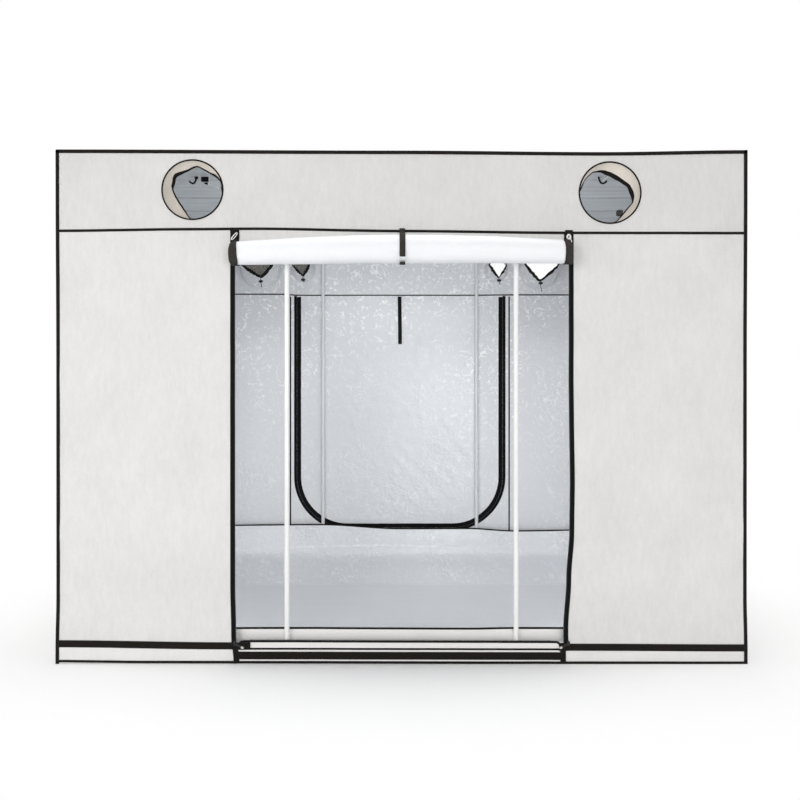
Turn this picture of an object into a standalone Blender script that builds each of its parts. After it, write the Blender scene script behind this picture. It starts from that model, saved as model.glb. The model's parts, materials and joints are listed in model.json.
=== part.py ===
"""Indoor grow tent: a frame of steel poles in corner and tee connectors, covered by sewn cloth panels.

Metres, +Z up. The origin is on the ground under the middle of the tent, and the doorway faces -Y.
"""

import math

import bmesh
import bpy
from mathutils import Matrix, Vector

# Overall size, over the outer faces of the cloth
WIDTH = 3.0
DEPTH = 1.5
HEIGHT = 2.23

# Cloth, and the gap that touching pieces keep
CLOTH = 0.0015
GAP = 0.0003
OVERRUN = 0.01
SMOOTH_ANGLE = math.radians(40)

# Pole frame
POLE_R = 0.011
POLE_WALL = 0.001
POST_SPREAD = 1.0
SOCKET_GAP = 0.0003
SOCKET_WALL = 0.0022
SOCKET_REACH = 0.055
SOCKET_WEB = 0.0047
KNUCKLE_CROWN = 0.001
POLE_SIDES = 12
KNUCKLE_RINGS = 6
DRAIN_R = 0.002

# Front wall: header with two vents, two panels, a sill under the doorway
HEADER_HEIGHT = 0.351
DOORWAY_WIDTH = 1.448
SILL_HEIGHT = 0.097

# Rolled front door
ROLL_LENGTH = 1.41
ROLL_END_R = 0.05
ROLL_MIDDLE_R = 0.0625
ROLL_CORE_R = 0.014
ROLL_DROP = 0.154
ROLL_TURNS = 9
ROLL_POINTS_A_TURN = 12
ROLL_STATIONS = 5

# Straps
STRAP_WIDTH = 0.025
STRAP_CLEARANCE = 0.0005
STRAP_LAP = 0.02
STRAP_BENDS = 18
TIE_STRAP_LENGTH = 0.315

# Zip sliders, parked at the foot of the doorway's two side zips
SLIDER_WIDTH = 0.012
SLIDER_HEIGHT = 0.022
SLIDER_DEPTH = 0.007
SLIDER_FOOT = 0.08
SLIDER_EDGE = 0.0015
PULL_LENGTH = 0.045
PULL_WIDTH = 0.009
PULL_DEPTH = 0.002
PULL_EYE_R = 0.0022
PULL_TURN = math.radians(62)

# Vents and their cloth sleeves
VENT_R = 0.132
VENT_SPREAD = 1.816
VENT_DROP = 0.175
CABLE_VENT_R = 0.075
CABLE_VENT_SPREAD = 1.256
CABLE_VENT_DROP = 0.185
FRONT_SLEEVE_LENGTH = 0.11
REAR_SLEEVE_LENGTH = 0.15
CABLE_SLEEVE_LENGTH = 0.12
MOUTH_SHARE = 0.8
MOUTH_SAG = 0.006
MOUTH_POWER = 1.35
SLEEVE_SIDES = 24
SLEEVE_RINGS = 4

# Rear wall: header with four vents, two panels, and a door in its own surround
REAR_SURROUND_WIDTH = 1.43
REAR_DOOR_WIDTH = 1.344
REAR_DOOR_FOOT = 0.365
REAR_DOOR_CORNER_R = 0.33
CORNER_STEPS = 10

# Floor tray
TRAY_FRONT = 0.14
TRAY_REAR = 0.39

# Sizes worked out from those above
SOCKET_BORE_R = POLE_R + SOCKET_GAP
SOCKET_R = SOCKET_BORE_R + SOCKET_WALL
SOCKET_FLOOR = SOCKET_BORE_R + SOCKET_WEB
KNUCKLE_R = SOCKET_R + KNUCKLE_CROWN
FRAME_INSET = CLOTH + GAP + KNUCKLE_R
FRAME_X = WIDTH / 2 - FRAME_INSET
FRAME_Y = DEPTH / 2 - FRAME_INSET
FRAME_LOW = FRAME_INSET
FRAME_HIGH = HEIGHT - FRAME_INSET
POST_X = POST_SPREAD / 2
FRONT = -DEPTH / 2
REAR = DEPTH / 2
WALL_LOW = CLOTH + GAP
WALL_HIGH = HEIGHT - CLOTH - GAP
HEADER_SEAM = HEIGHT - HEADER_HEIGHT
ROLL_BOTTOM = HEADER_SEAM - ROLL_DROP
VENT_HEIGHT = HEIGHT - VENT_DROP
CABLE_VENT_HEIGHT = HEIGHT - CABLE_VENT_DROP
SIDES = {"left": -1, "right": 1}
ENDS = {"front": -1, "rear": 1}
LEVELS = {"bottom": -1, "top": 1}

COLOURS = {
    "pole_white": ((0.93, 0.93, 0.92), 0.35, 0.0),
    "connector_white": ((0.85, 0.86, 0.86), 0.45, 0.0),
    "cover_cloth": ((0.80, 0.79, 0.77), 0.9, 0.0),
    "lining_cloth": ((0.72, 0.75, 0.78), 0.35, 0.2),
    "tray_cloth": ((0.70, 0.72, 0.74), 0.4, 0.1),
    "webbing_black": ((0.02, 0.02, 0.02), 0.9, 0.0),
    "zip_metal": ((0.03, 0.03, 0.03), 0.4, 0.5),
}


def clear_scene():
    for obj in list(bpy.data.objects):
        bpy.data.objects.remove(obj, do_unlink=True)


def new_collection(name):
    made = bpy.data.collections.new(name)
    bpy.context.scene.collection.children.link(made)
    return made


def new_material(name):
    colour, roughness, metallic = COLOURS[name]
    made = bpy.data.materials.new(name)
    made.use_nodes = True
    shader = made.node_tree.nodes["Principled BSDF"]
    shader.inputs["Base Color"].default_value = (*colour, 1.0)
    shader.inputs["Roughness"].default_value = roughness
    shader.inputs["Metallic"].default_value = metallic
    return made


def place(name, mesh, material, smooth=False):
    """A sub-part of the tent, in the tent's collection."""
    if not mesh.materials:
        mesh.materials.append(MATERIALS[material])
    if smooth:
        mesh.shade_smooth()
        mesh.set_sharp_from_angle(angle=SMOOTH_ANGLE)
    obj = bpy.data.objects.new(name, mesh)
    TENT.objects.link(obj)
    return obj


def scratch(mesh):
    """A helper that is joined to a piece or cut from it, and then removed."""
    obj = bpy.data.objects.new("helper", mesh)
    obj.hide_render = True
    obj.display_type = "WIRE"
    HELPERS.objects.link(obj)
    return obj


def evaluated_mesh(obj):
    """The object's mesh with its modifiers applied and its place in it. The object is removed."""
    bpy.context.view_layer.update()
    graph = bpy.context.evaluated_depsgraph_get()
    mesh = bpy.data.meshes.new_from_object(obj.evaluated_get(graph))
    mesh.transform(obj.matrix_world)
    bpy.data.objects.remove(obj, do_unlink=True)
    return mesh


def fused(solids, cuts=()):
    """One mesh of the solids joined together, less the cuts."""
    body = solids[0]
    tools = [("UNION", solid) for solid in solids[1:]] + [("DIFFERENCE", cut) for cut in cuts]
    for operation, tool in tools:
        step = body.modifiers.new(operation.lower(), "BOOLEAN")
        step.operation = operation
        step.solver = "EXACT"
        step.object = tool
    mesh = evaluated_mesh(body)
    for _, tool in tools:
        bpy.data.objects.remove(tool, do_unlink=True)
    return mesh


def from_bmesh(shape):
    mesh = bpy.data.meshes.new("shape")
    shape.to_mesh(mesh)
    shape.free()
    return mesh


def box_mesh(low, high, edge=0.0):
    """A box between two corners, its edges rounded by edge."""
    shape = bmesh.new()
    low, high = Vector(low), Vector(high)
    size = Matrix.Diagonal((*(high - low), 1.0))
    bmesh.ops.create_cube(shape, size=1.0, matrix=Matrix.Translation((low + high) / 2) @ size)
    if edge:
        bmesh.ops.bevel(shape, geom=shape.edges[:], offset=edge, segments=1, affect="EDGES")
    return from_bmesh(shape)


def cylinder_mesh(radius, start, end):
    """A closed cylinder between two points."""
    start, end = Vector(start), Vector(end)
    along = end - start
    turn = along.to_track_quat("Z", "Y").to_matrix().to_4x4()
    shape = bmesh.new()
    bmesh.ops.create_cone(
        shape,
        cap_ends=True,
        segments=POLE_SIDES,
        radius1=radius,
        radius2=radius,
        depth=along.length,
        matrix=Matrix.Translation((start + end) / 2) @ turn,
    )
    return from_bmesh(shape)


def ball_mesh(radius):
    shape = bmesh.new()
    bmesh.ops.create_uvsphere(shape, u_segments=POLE_SIDES, v_segments=KNUCKLE_RINGS, radius=radius)
    return from_bmesh(shape)


def pole(name, start, end):
    """A hollow pole whose ends stand in the sockets of the knuckles at start and end."""
    start, end = Vector(start), Vector(end)
    along = (end - start).normalized()
    seat = SOCKET_FLOOR + GAP
    half = (end - start).length / 2 - seat
    bore_r = POLE_R - POLE_WALL
    profile = [(POLE_R, 0, half), (POLE_R, 0, -half), (bore_r, 0, -half), (bore_r, 0, half)]
    mesh = bpy.data.meshes.new(name)
    mesh.from_pydata(profile, [(i, (i + 1) % len(profile)) for i in range(len(profile))], [])
    obj = place(name, mesh, "pole_white")
    turned = obj.modifiers.new("turned", "SCREW")
    turned.steps = turned.render_steps = POLE_SIDES
    turned.use_smooth_shade = True
    obj.location = (start + end) / 2
    obj.rotation_mode = "QUATERNION"
    obj.rotation_quaternion = along.to_track_quat("Z", "Y")
    return obj


def socket(direction):
    """The outside of one socket arm of a knuckle at the origin."""
    return scratch(cylinder_mesh(SOCKET_R, (0, 0, 0), Vector(direction) * SOCKET_REACH))


def socket_bore(direction):
    way = Vector(direction)
    return scratch(cylinder_mesh(SOCKET_BORE_R, way * SOCKET_FLOOR, way * (SOCKET_REACH + OVERRUN)))


def knuckle_mesh(directions):
    """A connector: a knuckle with a socket for each pole."""
    solids = [scratch(ball_mesh(KNUCKLE_R))] + [socket(way) for way in directions]
    return fused(solids, [socket_bore(way) for way in directions])


def footed_post_mesh():
    """An inner post with its tee foot welded on, standing on the foot's centre."""
    top = FRAME_HIGH - FRAME_LOW - SOCKET_FLOOR - GAP
    sideways = [(1, 0, 0), (-1, 0, 0)]
    solids = [scratch(ball_mesh(KNUCKLE_R))] + [socket(way) for way in [*sideways, (0, 0, 1)]]
    solids.append(scratch(cylinder_mesh(POLE_R, (0, 0, 0), (0, 0, top))))
    cuts = [socket_bore(way) for way in sideways]
    bore = cylinder_mesh(POLE_R - POLE_WALL, (0, 0, SOCKET_FLOOR), (0, 0, top + OVERRUN))
    cuts.append(scratch(bore))
    return fused(solids, cuts)


def roof_bar_mesh():
    """A bar under the roof with a tee head welded on each end, for two rails and the post below."""
    ways = [(1, 0, 0), (-1, 0, 0), (0, 0, -1)]
    run = (0, FRAME_Y + OVERRUN, 0)
    solids = [scratch(ball_mesh(KNUCKLE_R))] + [socket(way) for way in [*ways, (0, 1, 0)]]
    solids.append(scratch(cylinder_mesh(POLE_R, (0, 0, 0), run)))
    cuts = [socket_bore(way) for way in ways]
    bore_end = (0, FRAME_Y + 2 * OVERRUN, 0)
    cuts.append(scratch(cylinder_mesh(POLE_R - POLE_WALL, (0, SOCKET_FLOOR, 0), bore_end)))
    drain_y = SOCKET_REACH + OVERRUN
    cuts.append(scratch(cylinder_mesh(DRAIN_R, (0, drain_y, 0), (0, drain_y, -POLE_R - OVERRUN))))
    front_half = fused(solids, cuts)
    front_half.transform(Matrix.Translation((0, -FRAME_Y, 0)))
    bar = scratch(front_half)
    both_ends = bar.modifiers.new("both ends", "MIRROR")
    both_ends.use_axis = (False, True, False)
    both_ends.use_bisect_axis = (False, True, False)
    both_ends.use_bisect_flip_axis = (False, True, False)
    both_ends.merge_threshold = GAP / 10
    return evaluated_mesh(bar)


def make_corners():
    """Eight three-way corner connectors, turned to face the poles that they hold."""
    corner = knuckle_mesh([(1, 0, 0), (0, 1, 0), (0, 0, 1)])
    quarter = math.pi / 2
    turns = {(-1, -1): 0, (1, -1): 1, (1, 1): 2, (-1, 1): 3}
    for side, x in SIDES.items():
        for end, y in ENDS.items():
            for level, z in LEVELS.items():
                obj = place(f"{end}_{side}_{level}_corner", corner, "connector_white", smooth=True)
                obj.location = (x * FRAME_X, y * FRAME_Y, FRAME_HIGH if z > 0 else FRAME_LOW)
                over = math.pi if z > 0 else 0
                obj.rotation_euler = (over, 0, (turns[x, y] + (z > 0)) * quarter)


def make_poles():
    """Corner posts, inner posts on their feet, the runs of rails, and the bars under the roof."""
    footed = footed_post_mesh()
    roof_bar = roof_bar_mesh()
    for side, x in SIDES.items():
        for end, y in ENDS.items():
            foot = (x * FRAME_X, y * FRAME_Y, FRAME_LOW)
            pole(f"{end}_{side}_corner_post", foot, (foot[0], foot[1], FRAME_HIGH))
            inner = place(f"{end}_{side}_inner_post", footed, "pole_white", smooth=True)
            inner.location = (x * POST_X, y * FRAME_Y, FRAME_LOW)
        for level, z in (("bottom", FRAME_LOW), ("top", FRAME_HIGH)):
            pole(f"{side}_{level}_rail", (x * FRAME_X, -FRAME_Y, z), (x * FRAME_X, FRAME_Y, z))
        bar = place(f"{side}_roof_bar", roof_bar, "pole_white", smooth=True)
        bar.location = (x * POST_X, 0, FRAME_HIGH)
    for end, y in ENDS.items():
        for level, z in (("bottom", FRAME_LOW), ("top", FRAME_HIGH)):
            stops = [-FRAME_X, -POST_X, POST_X, FRAME_X]
            for part, start, stop in zip(("left", "middle", "right"), stops, stops[1:]):
                name = f"{end}_{level}_{part}_rail"
                pole(name, (start, y * FRAME_Y, z), (stop, y * FRAME_Y, z))


def circle_points(centre_x, centre_z, radius):
    return [
        (centre_x + radius * math.cos(turn), centre_z + radius * math.sin(turn))
        for turn in (2 * math.pi * i / SLEEVE_SIDES for i in range(SLEEVE_SIDES))
    ]


def rectangle_points(left, right, low, high):
    return [(left, low), (right, low), (right, high), (left, high)]


def panel_mesh(outlines, front_face):
    """A cloth panel across the tent. Its outlines are lists of (x, z), the later ones its holes."""
    curve = bpy.data.curves.new("panel", "CURVE")
    curve.dimensions = "2D"
    curve.fill_mode = "BOTH"
    curve.extrude = CLOTH / 2
    for outline in outlines:
        spline = curve.splines.new("POLY")
        spline.points.add(len(outline) - 1)
        spline.use_cyclic_u = True
        for point, (x, z) in zip(spline.points, outline):
            point.co = (x, z, 0, 1)
    obj = scratch(curve)
    obj.rotation_euler = (math.pi / 2, 0, 0)
    obj.location = (0, front_face + CLOTH / 2, 0)
    mesh = evaluated_mesh(obj)
    shape = bmesh.new()
    shape.from_mesh(mesh)
    bmesh.ops.remove_doubles(shape, verts=shape.verts, dist=GAP / 10)
    bmesh.ops.recalc_face_normals(shape, faces=shape.faces)
    shape.to_mesh(mesh)
    shape.free()
    return mesh


def make_front_wall():
    door = DOORWAY_WIDTH / 2
    vents = [circle_points(x * VENT_SPREAD / 2, VENT_HEIGHT, VENT_R) for x in SIDES.values()]
    header = rectangle_points(-WIDTH / 2, WIDTH / 2, HEADER_SEAM, WALL_HIGH)
    place("front_header", panel_mesh([header, *vents], FRONT), "cover_cloth")
    for side, x in SIDES.items():
        left, right = sorted((x * door, x * WIDTH / 2))
        low, high = (left, FRONT, WALL_LOW), (right, FRONT + CLOTH, HEADER_SEAM - GAP)
        place(f"front_{side}_panel", box_mesh(low, high), "cover_cloth")
    low = (GAP - door, FRONT, WALL_LOW)
    high = (door - GAP, FRONT + CLOTH, SILL_HEIGHT)
    place("front_sill", box_mesh(low, high), "cover_cloth")


def sleeve_mesh(centre, radius, length, wall, inward):
    """A cloth tube sewn round a vent. It runs into the tent from the wall to a mouth drawn in by its cord."""
    shape = bmesh.new()
    rings = []
    for step in range(SLEEVE_RINGS + 1):
        way_in = step / SLEEVE_RINGS
        drawn = way_in**2
        ring = []
        for i in range(SLEEVE_SIDES):
            turn = 2 * math.pi * i / SLEEVE_SIDES
            across, up = math.cos(turn), math.sin(turn)
            diamond = (abs(across) ** MOUTH_POWER + abs(up) ** MOUTH_POWER) ** (-1 / MOUTH_POWER)
            reach = radius * (1 - drawn + drawn * MOUTH_SHARE * diamond)
            x = centre[0] + reach * across
            z = centre[1] + reach * up - MOUTH_SAG * drawn
            ring.append(shape.verts.new((x, wall + inward * length * way_in, z)))
        rings.append(ring)
    for near, far in zip(rings, rings[1:]):
        for i in range(SLEEVE_SIDES):
            j = (i + 1) % SLEEVE_SIDES
            corners = [near[i], near[j], far[j], far[i]]
            shape.faces.new(corners if inward < 0 else corners[::-1])
    obj = scratch(from_bmesh(shape))
    wall_of_cloth = obj.modifiers.new("wall of cloth", "SOLIDIFY")
    wall_of_cloth.thickness = CLOTH
    wall_of_cloth.offset = 1.0
    return evaluated_mesh(obj)


def make_front_sleeves():
    for side, x in SIDES.items():
        centre = (x * VENT_SPREAD / 2, VENT_HEIGHT)
        wall = FRONT + CLOTH + GAP
        mesh = sleeve_mesh(centre, VENT_R, FRONT_SLEEVE_LENGTH, wall, 1)
        place(f"front_{side}_vent_sleeve", mesh, "cover_cloth", smooth=True)


def make_rear_header():
    """The rear header and the sleeves sewn round its vents: a large one and a small one each side."""
    outlines = [rectangle_points(-WIDTH / 2, WIDTH / 2, HEADER_SEAM, WALL_HIGH)]
    for side, x in SIDES.items():
        for use, spread, height, radius, length in (
            ("vent", VENT_SPREAD, VENT_HEIGHT, VENT_R, REAR_SLEEVE_LENGTH),
            ("cable", CABLE_VENT_SPREAD, CABLE_VENT_HEIGHT, CABLE_VENT_R, CABLE_SLEEVE_LENGTH),
        ):
            centre = (x * spread / 2, height)
            outlines.append(circle_points(*centre, radius))
            mesh = sleeve_mesh(centre, radius, length, REAR - CLOTH - GAP, -1)
            place(f"rear_{side}_{use}_sleeve", mesh, "lining_cloth", smooth=True)
    place("rear_header", panel_mesh(outlines, REAR - CLOTH), "lining_cloth")


def door_outline(half_width, foot, head, corner_r):
    """The rear door's outline, from its head down the left side, round the corners and up again."""
    points = [(-half_width, head)]
    for centre_x, start in ((-half_width + corner_r, math.pi), (half_width - corner_r, 1.5 * math.pi)):
        for i in range(CORNER_STEPS + 1):
            turn = start + math.pi / 2 * i / CORNER_STEPS
            x = centre_x + corner_r * math.cos(turn)
            points.append((x, foot + corner_r + corner_r * math.sin(turn)))
    points.append((half_width, head))
    return points


def make_rear_wall():
    surround = REAR_SURROUND_WIDTH / 2
    head = HEADER_SEAM - GAP
    for side, x in SIDES.items():
        left, right = sorted((x * (surround + GAP), x * WIDTH / 2))
        low, high = (left, REAR - CLOTH, WALL_LOW), (right, REAR, head)
        place(f"rear_{side}_panel", box_mesh(low, high), "lining_cloth")
    half = REAR_DOOR_WIDTH / 2
    opening = door_outline(half + GAP, REAR_DOOR_FOOT - GAP, head, REAR_DOOR_CORNER_R + GAP)
    outside = [(surround, head), (surround, WALL_LOW), (-surround, WALL_LOW), (-surround, head)]
    mesh = panel_mesh([opening + outside], REAR - CLOTH)
    place("rear_door_surround", mesh, "lining_cloth")
    leaf = door_outline(half, REAR_DOOR_FOOT, head, REAR_DOOR_CORNER_R)
    place("rear_door", panel_mesh([leaf], REAR - CLOTH), "lining_cloth")
    low = (-STRAP_WIDTH / 2, REAR - CLOTH - GAP - CLOTH, head - TIE_STRAP_LENGTH)
    high = (STRAP_WIDTH / 2, REAR - CLOTH - GAP, head)
    place("rear_tie_strap", box_mesh(low, high), "webbing_black")


def make_sides_roof_and_floor():
    for side, x in SIDES.items():
        left, right = sorted((x * (WIDTH / 2 - CLOTH), x * WIDTH / 2))
        inset = CLOTH + GAP
        low, high = (left, FRONT + inset, WALL_LOW), (right, REAR - inset, WALL_HIGH)
        place(f"{side}_wall", box_mesh(low, high), "cover_cloth")
    half = WIDTH / 2
    place("roof", box_mesh((-half, FRONT, HEIGHT - CLOTH), (half, REAR, HEIGHT)), "lining_cloth")
    place("floor_sheet", box_mesh((-half, FRONT, 0), (half, REAR, CLOTH)), "cover_cloth")


def make_floor_tray():
    """An open tray inside the poles. Its rim is low at the doorway and rises to the rear posts."""
    x = FRAME_X - KNUCKLE_R - GAP
    y = FRAME_Y - KNUCKLE_R - GAP
    shape = bmesh.new()
    size = Matrix.Diagonal((2 * x, 2 * y, TRAY_FRONT - WALL_LOW, 1.0))
    middle = Matrix.Translation((0, 0, (TRAY_FRONT + WALL_LOW) / 2))
    bmesh.ops.create_cube(shape, size=1.0, matrix=middle @ size)
    lid = max(shape.faces, key=lambda face: face.calc_center_median().z)
    for vert in lid.verts:
        if vert.co.y > 0:
            vert.co.z = TRAY_REAR
    bmesh.ops.delete(shape, geom=[lid], context="FACES_ONLY")
    obj = place("floor_tray", from_bmesh(shape), "tray_cloth")
    wall_of_cloth = obj.modifiers.new("wall of cloth", "SOLIDIFY")
    wall_of_cloth.thickness = CLOTH
    wall_of_cloth.offset = -1.0
    wall_of_cloth.use_even_offset = True


def roll_station(share):
    """(x, radius) of the rolled door at a share from -1 to 1 of its half length."""
    swell = 1 - share**2
    return share * ROLL_LENGTH / 2, ROLL_END_R + (ROLL_MIDDLE_R - ROLL_END_R) * swell


def roll_stations():
    shares = [2 * i / (ROLL_STATIONS - 1) - 1 for i in range(ROLL_STATIONS)]
    return [roll_station(share) for share in shares]


def roll_section(x, radius):
    """The spiral of cloth at one station. It starts level with its axis, behind, and winds down and forward."""
    centre_y = FRONT + CLOTH - radius
    centre_z = ROLL_BOTTOM + radius
    count = ROLL_TURNS * ROLL_POINTS_A_TURN
    faces = []
    for inset in (0, CLOTH):
        side = []
        for i in range(count + 1):
            turn = 2 * math.pi * i / ROLL_POINTS_A_TURN
            reach = radius - (radius - ROLL_CORE_R) * i / count - inset
            y = centre_y + reach * math.cos(turn)
            side.append((x, y, centre_z - reach * math.sin(turn)))
        faces.append(side)
    return faces[0] + faces[1][::-1]


def make_door_roll():
    """The front door rolled up outwards: one spiral of cloth, thicker in the middle than at its ends."""
    shape = bmesh.new()
    sections = [[shape.verts.new(point) for point in roll_section(*at)] for at in roll_stations()]
    count = len(sections[0])
    for near, far in zip(sections, sections[1:]):
        for i in range(count):
            j = (i + 1) % count
            shape.faces.new((near[i], near[j], far[j], far[i]))
    shape.faces.new(sections[0][::-1])
    shape.faces.new(sections[-1])
    bmesh.ops.recalc_face_normals(shape, faces=shape.faces)
    place("door_roll", from_bmesh(shape), "lining_cloth", smooth=True)
    pitch = (ROLL_END_R - ROLL_CORE_R) / ROLL_TURNS
    print(f"door roll: gap between turns {1000 * (pitch - CLOTH):.2f} mm at its ends")


def make_door_drop():
    """The short stretch of the front door between the header seam and the roll."""
    outline = [(x, ROLL_BOTTOM + radius + GAP) for x, radius in roll_stations()]
    head = HEADER_SEAM - GAP
    outline += [(ROLL_LENGTH / 2, head), (-ROLL_LENGTH / 2, head)]
    place("door_drop", panel_mesh([outline], FRONT), "cover_cloth")


def strap_path():
    """(y, z) of the strap's inner face: over the header's front, round the roll, and up inside."""
    axis = Vector((FRONT + CLOTH - ROLL_MIDDLE_R, ROLL_BOTTOM + ROLL_MIDDLE_R))
    radius = ROLL_MIDDLE_R + STRAP_CLEARANCE
    outside = FRONT - GAP
    leaves = Vector((outside, HEADER_SEAM - GAP))
    away = leaves - axis
    first = math.atan2(away.y, away.x) + math.acos(radius / away.length)
    last = 2 * math.pi
    points = [(outside, HEADER_SEAM + STRAP_LAP), tuple(leaves)]
    for i in range(STRAP_BENDS + 1):
        turn = first + (last - first) * i / STRAP_BENDS
        points.append((axis.x + radius * math.cos(turn), axis.y + radius * math.sin(turn)))
    points.append((axis.x + radius, HEADER_SEAM + STRAP_LAP))
    return points


def make_centre_strap():
    shape = bmesh.new()
    path = strap_path()
    edges = [[shape.verts.new((x, y, z)) for y, z in path] for x in (-STRAP_WIDTH / 2, STRAP_WIDTH / 2)]
    for i in range(len(path) - 1):
        shape.faces.new((edges[1][i], edges[0][i], edges[0][i + 1], edges[1][i + 1]))
    obj = place("centre_strap", from_bmesh(shape), "webbing_black")
    webbing = obj.modifiers.new("webbing", "SOLIDIFY")
    webbing.thickness = CLOTH
    webbing.offset = 1.0
    webbing.use_even_offset = True


def make_zip_sliders():
    """A slider astride each side of the doorway, with its pull tab lying in towards the sill."""
    for side, x in SIDES.items():
        middle = x * DOORWAY_WIDTH / 2
        back = FRONT - GAP
        low = (middle - SLIDER_WIDTH / 2, back - SLIDER_DEPTH, SLIDER_FOOT)
        high = (middle + SLIDER_WIDTH / 2, back, SLIDER_FOOT + SLIDER_HEIGHT)
        body = scratch(box_mesh(low, high, SLIDER_EDGE))
        tab_y = back - SLIDER_DEPTH / 2
        tab_low = (-PULL_WIDTH / 2, tab_y - PULL_DEPTH / 2, -PULL_LENGTH)
        tab_high = (PULL_WIDTH / 2, tab_y + PULL_DEPTH / 2, 0)
        hang = Matrix.Translation((middle, 0, SLIDER_FOOT + SLIDER_HEIGHT / 2))
        hang = hang @ Matrix.Rotation(x * PULL_TURN, 4, "Y")
        tab = box_mesh(tab_low, tab_high)
        tab.transform(hang)
        eye_z = PULL_WIDTH / 2 - PULL_LENGTH
        reach = PULL_DEPTH + OVERRUN
        eye = cylinder_mesh(PULL_EYE_R, (0, tab_y - reach, eye_z), (0, tab_y + reach, eye_z))
        eye.transform(hang)
        mesh = fused([body, scratch(tab)], [scratch(eye)])
        place(f"{side}_zip_slider", mesh, "zip_metal")


clear_scene()
TENT = new_collection("indoor_grow_tent")
HELPERS = new_collection("helpers")
MATERIALS = {name: new_material(name) for name in COLOURS}
make_corners()
make_poles()
make_front_wall()
make_front_sleeves()
make_rear_header()
make_rear_wall()
make_sides_roof_and_floor()
make_floor_tray()
make_door_roll()
make_door_drop()
make_centre_strap()
make_zip_sliders()
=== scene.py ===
"""Looks of the indoor grow tent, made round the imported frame: sewn cloth, bindings, zips, straps and finishes."""

import json
import math

import bmesh
import bpy
import numpy as np
from mathutils import Matrix, Vector, noise
from mathutils.geometry import delaunay_2d_cdt

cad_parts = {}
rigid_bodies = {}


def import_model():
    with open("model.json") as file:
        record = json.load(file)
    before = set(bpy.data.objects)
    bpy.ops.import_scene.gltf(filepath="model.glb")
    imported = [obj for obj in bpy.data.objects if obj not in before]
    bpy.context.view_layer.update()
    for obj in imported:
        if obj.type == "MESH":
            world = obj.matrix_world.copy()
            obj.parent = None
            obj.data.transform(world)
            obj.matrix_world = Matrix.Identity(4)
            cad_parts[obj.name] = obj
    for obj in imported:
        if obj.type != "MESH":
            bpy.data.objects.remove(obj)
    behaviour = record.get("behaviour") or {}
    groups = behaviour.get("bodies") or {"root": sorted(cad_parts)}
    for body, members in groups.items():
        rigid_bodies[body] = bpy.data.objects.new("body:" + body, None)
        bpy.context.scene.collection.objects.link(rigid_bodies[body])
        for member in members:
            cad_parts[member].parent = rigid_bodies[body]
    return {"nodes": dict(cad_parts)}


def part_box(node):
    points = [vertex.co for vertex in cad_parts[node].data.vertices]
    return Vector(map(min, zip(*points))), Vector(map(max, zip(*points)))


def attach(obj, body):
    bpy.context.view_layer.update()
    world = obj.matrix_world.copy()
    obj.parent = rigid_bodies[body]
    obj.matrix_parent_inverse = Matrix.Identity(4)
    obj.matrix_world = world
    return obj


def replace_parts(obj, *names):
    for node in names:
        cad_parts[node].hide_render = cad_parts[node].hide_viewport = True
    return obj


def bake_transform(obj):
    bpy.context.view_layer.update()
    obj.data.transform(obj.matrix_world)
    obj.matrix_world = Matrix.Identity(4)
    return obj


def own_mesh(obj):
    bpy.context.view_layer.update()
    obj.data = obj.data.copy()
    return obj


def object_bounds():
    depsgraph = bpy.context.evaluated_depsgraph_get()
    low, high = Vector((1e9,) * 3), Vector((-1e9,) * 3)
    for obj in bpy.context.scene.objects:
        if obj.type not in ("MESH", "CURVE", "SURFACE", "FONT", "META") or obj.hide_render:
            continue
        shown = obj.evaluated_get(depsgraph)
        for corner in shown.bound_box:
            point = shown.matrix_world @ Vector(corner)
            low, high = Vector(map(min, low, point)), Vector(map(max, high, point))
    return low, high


for leftover in list(bpy.data.objects):
    bpy.data.objects.remove(leftover)


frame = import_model()
CAD_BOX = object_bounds()

SIDEWAYS = Vector((1, 0, 0))
FRONTWARD = Vector((0, -1, 0))
REARWARD = Vector((0, 1, 0))
UPWARD = Vector((0, 0, 1))
SIDES = (("left", -1), ("right", 1))
FULL_TURN = 2 * math.pi

# Walls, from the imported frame
HALF_WIDTH = CAD_BOX[1].x
HALF_DEPTH = 0.75
TOP = CAD_BOX[1].z
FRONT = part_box("front_header")[0].y
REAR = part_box("rear_header")[1].y
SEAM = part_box("front_header")[0].z
CLOTH = 0.0008
FRONT_CLOTH = FRONT + CLOTH
REAR_CLOTH = REAR - CLOTH
SIDE_CLOTH = HALF_WIDTH - CLOTH
DOOR_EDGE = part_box("front_right_panel")[0].x
# How far the roof bars, with the posts under them, and the side rails stand from the middle
BAR_X, RAIL_X = 0.5, 1.47
# How far cloth stops short of a bound edge, and of the ground
EDGE_GAP = 0.0012
GROUND_GAP = 0.002

# Vents: radius, and the middle's distance from the tent's middle and from the ground
VENT_R, VENT_X, VENT_Z = 0.132, 0.908, 2.055
CABLE_VENT_R, CABLE_VENT_X, CABLE_VENT_Z = 0.075, 0.628, 2.045

# Rolled door
ROLL_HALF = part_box("door_roll")[1].x
ROLL_BOTTOM = 1.725
ROLL_END_R = 0.05
ROLL_MIDDLE_R = 0.0625
ROLL_CORE_R = 0.014
DOOR_LENGTH = 1.81

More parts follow.
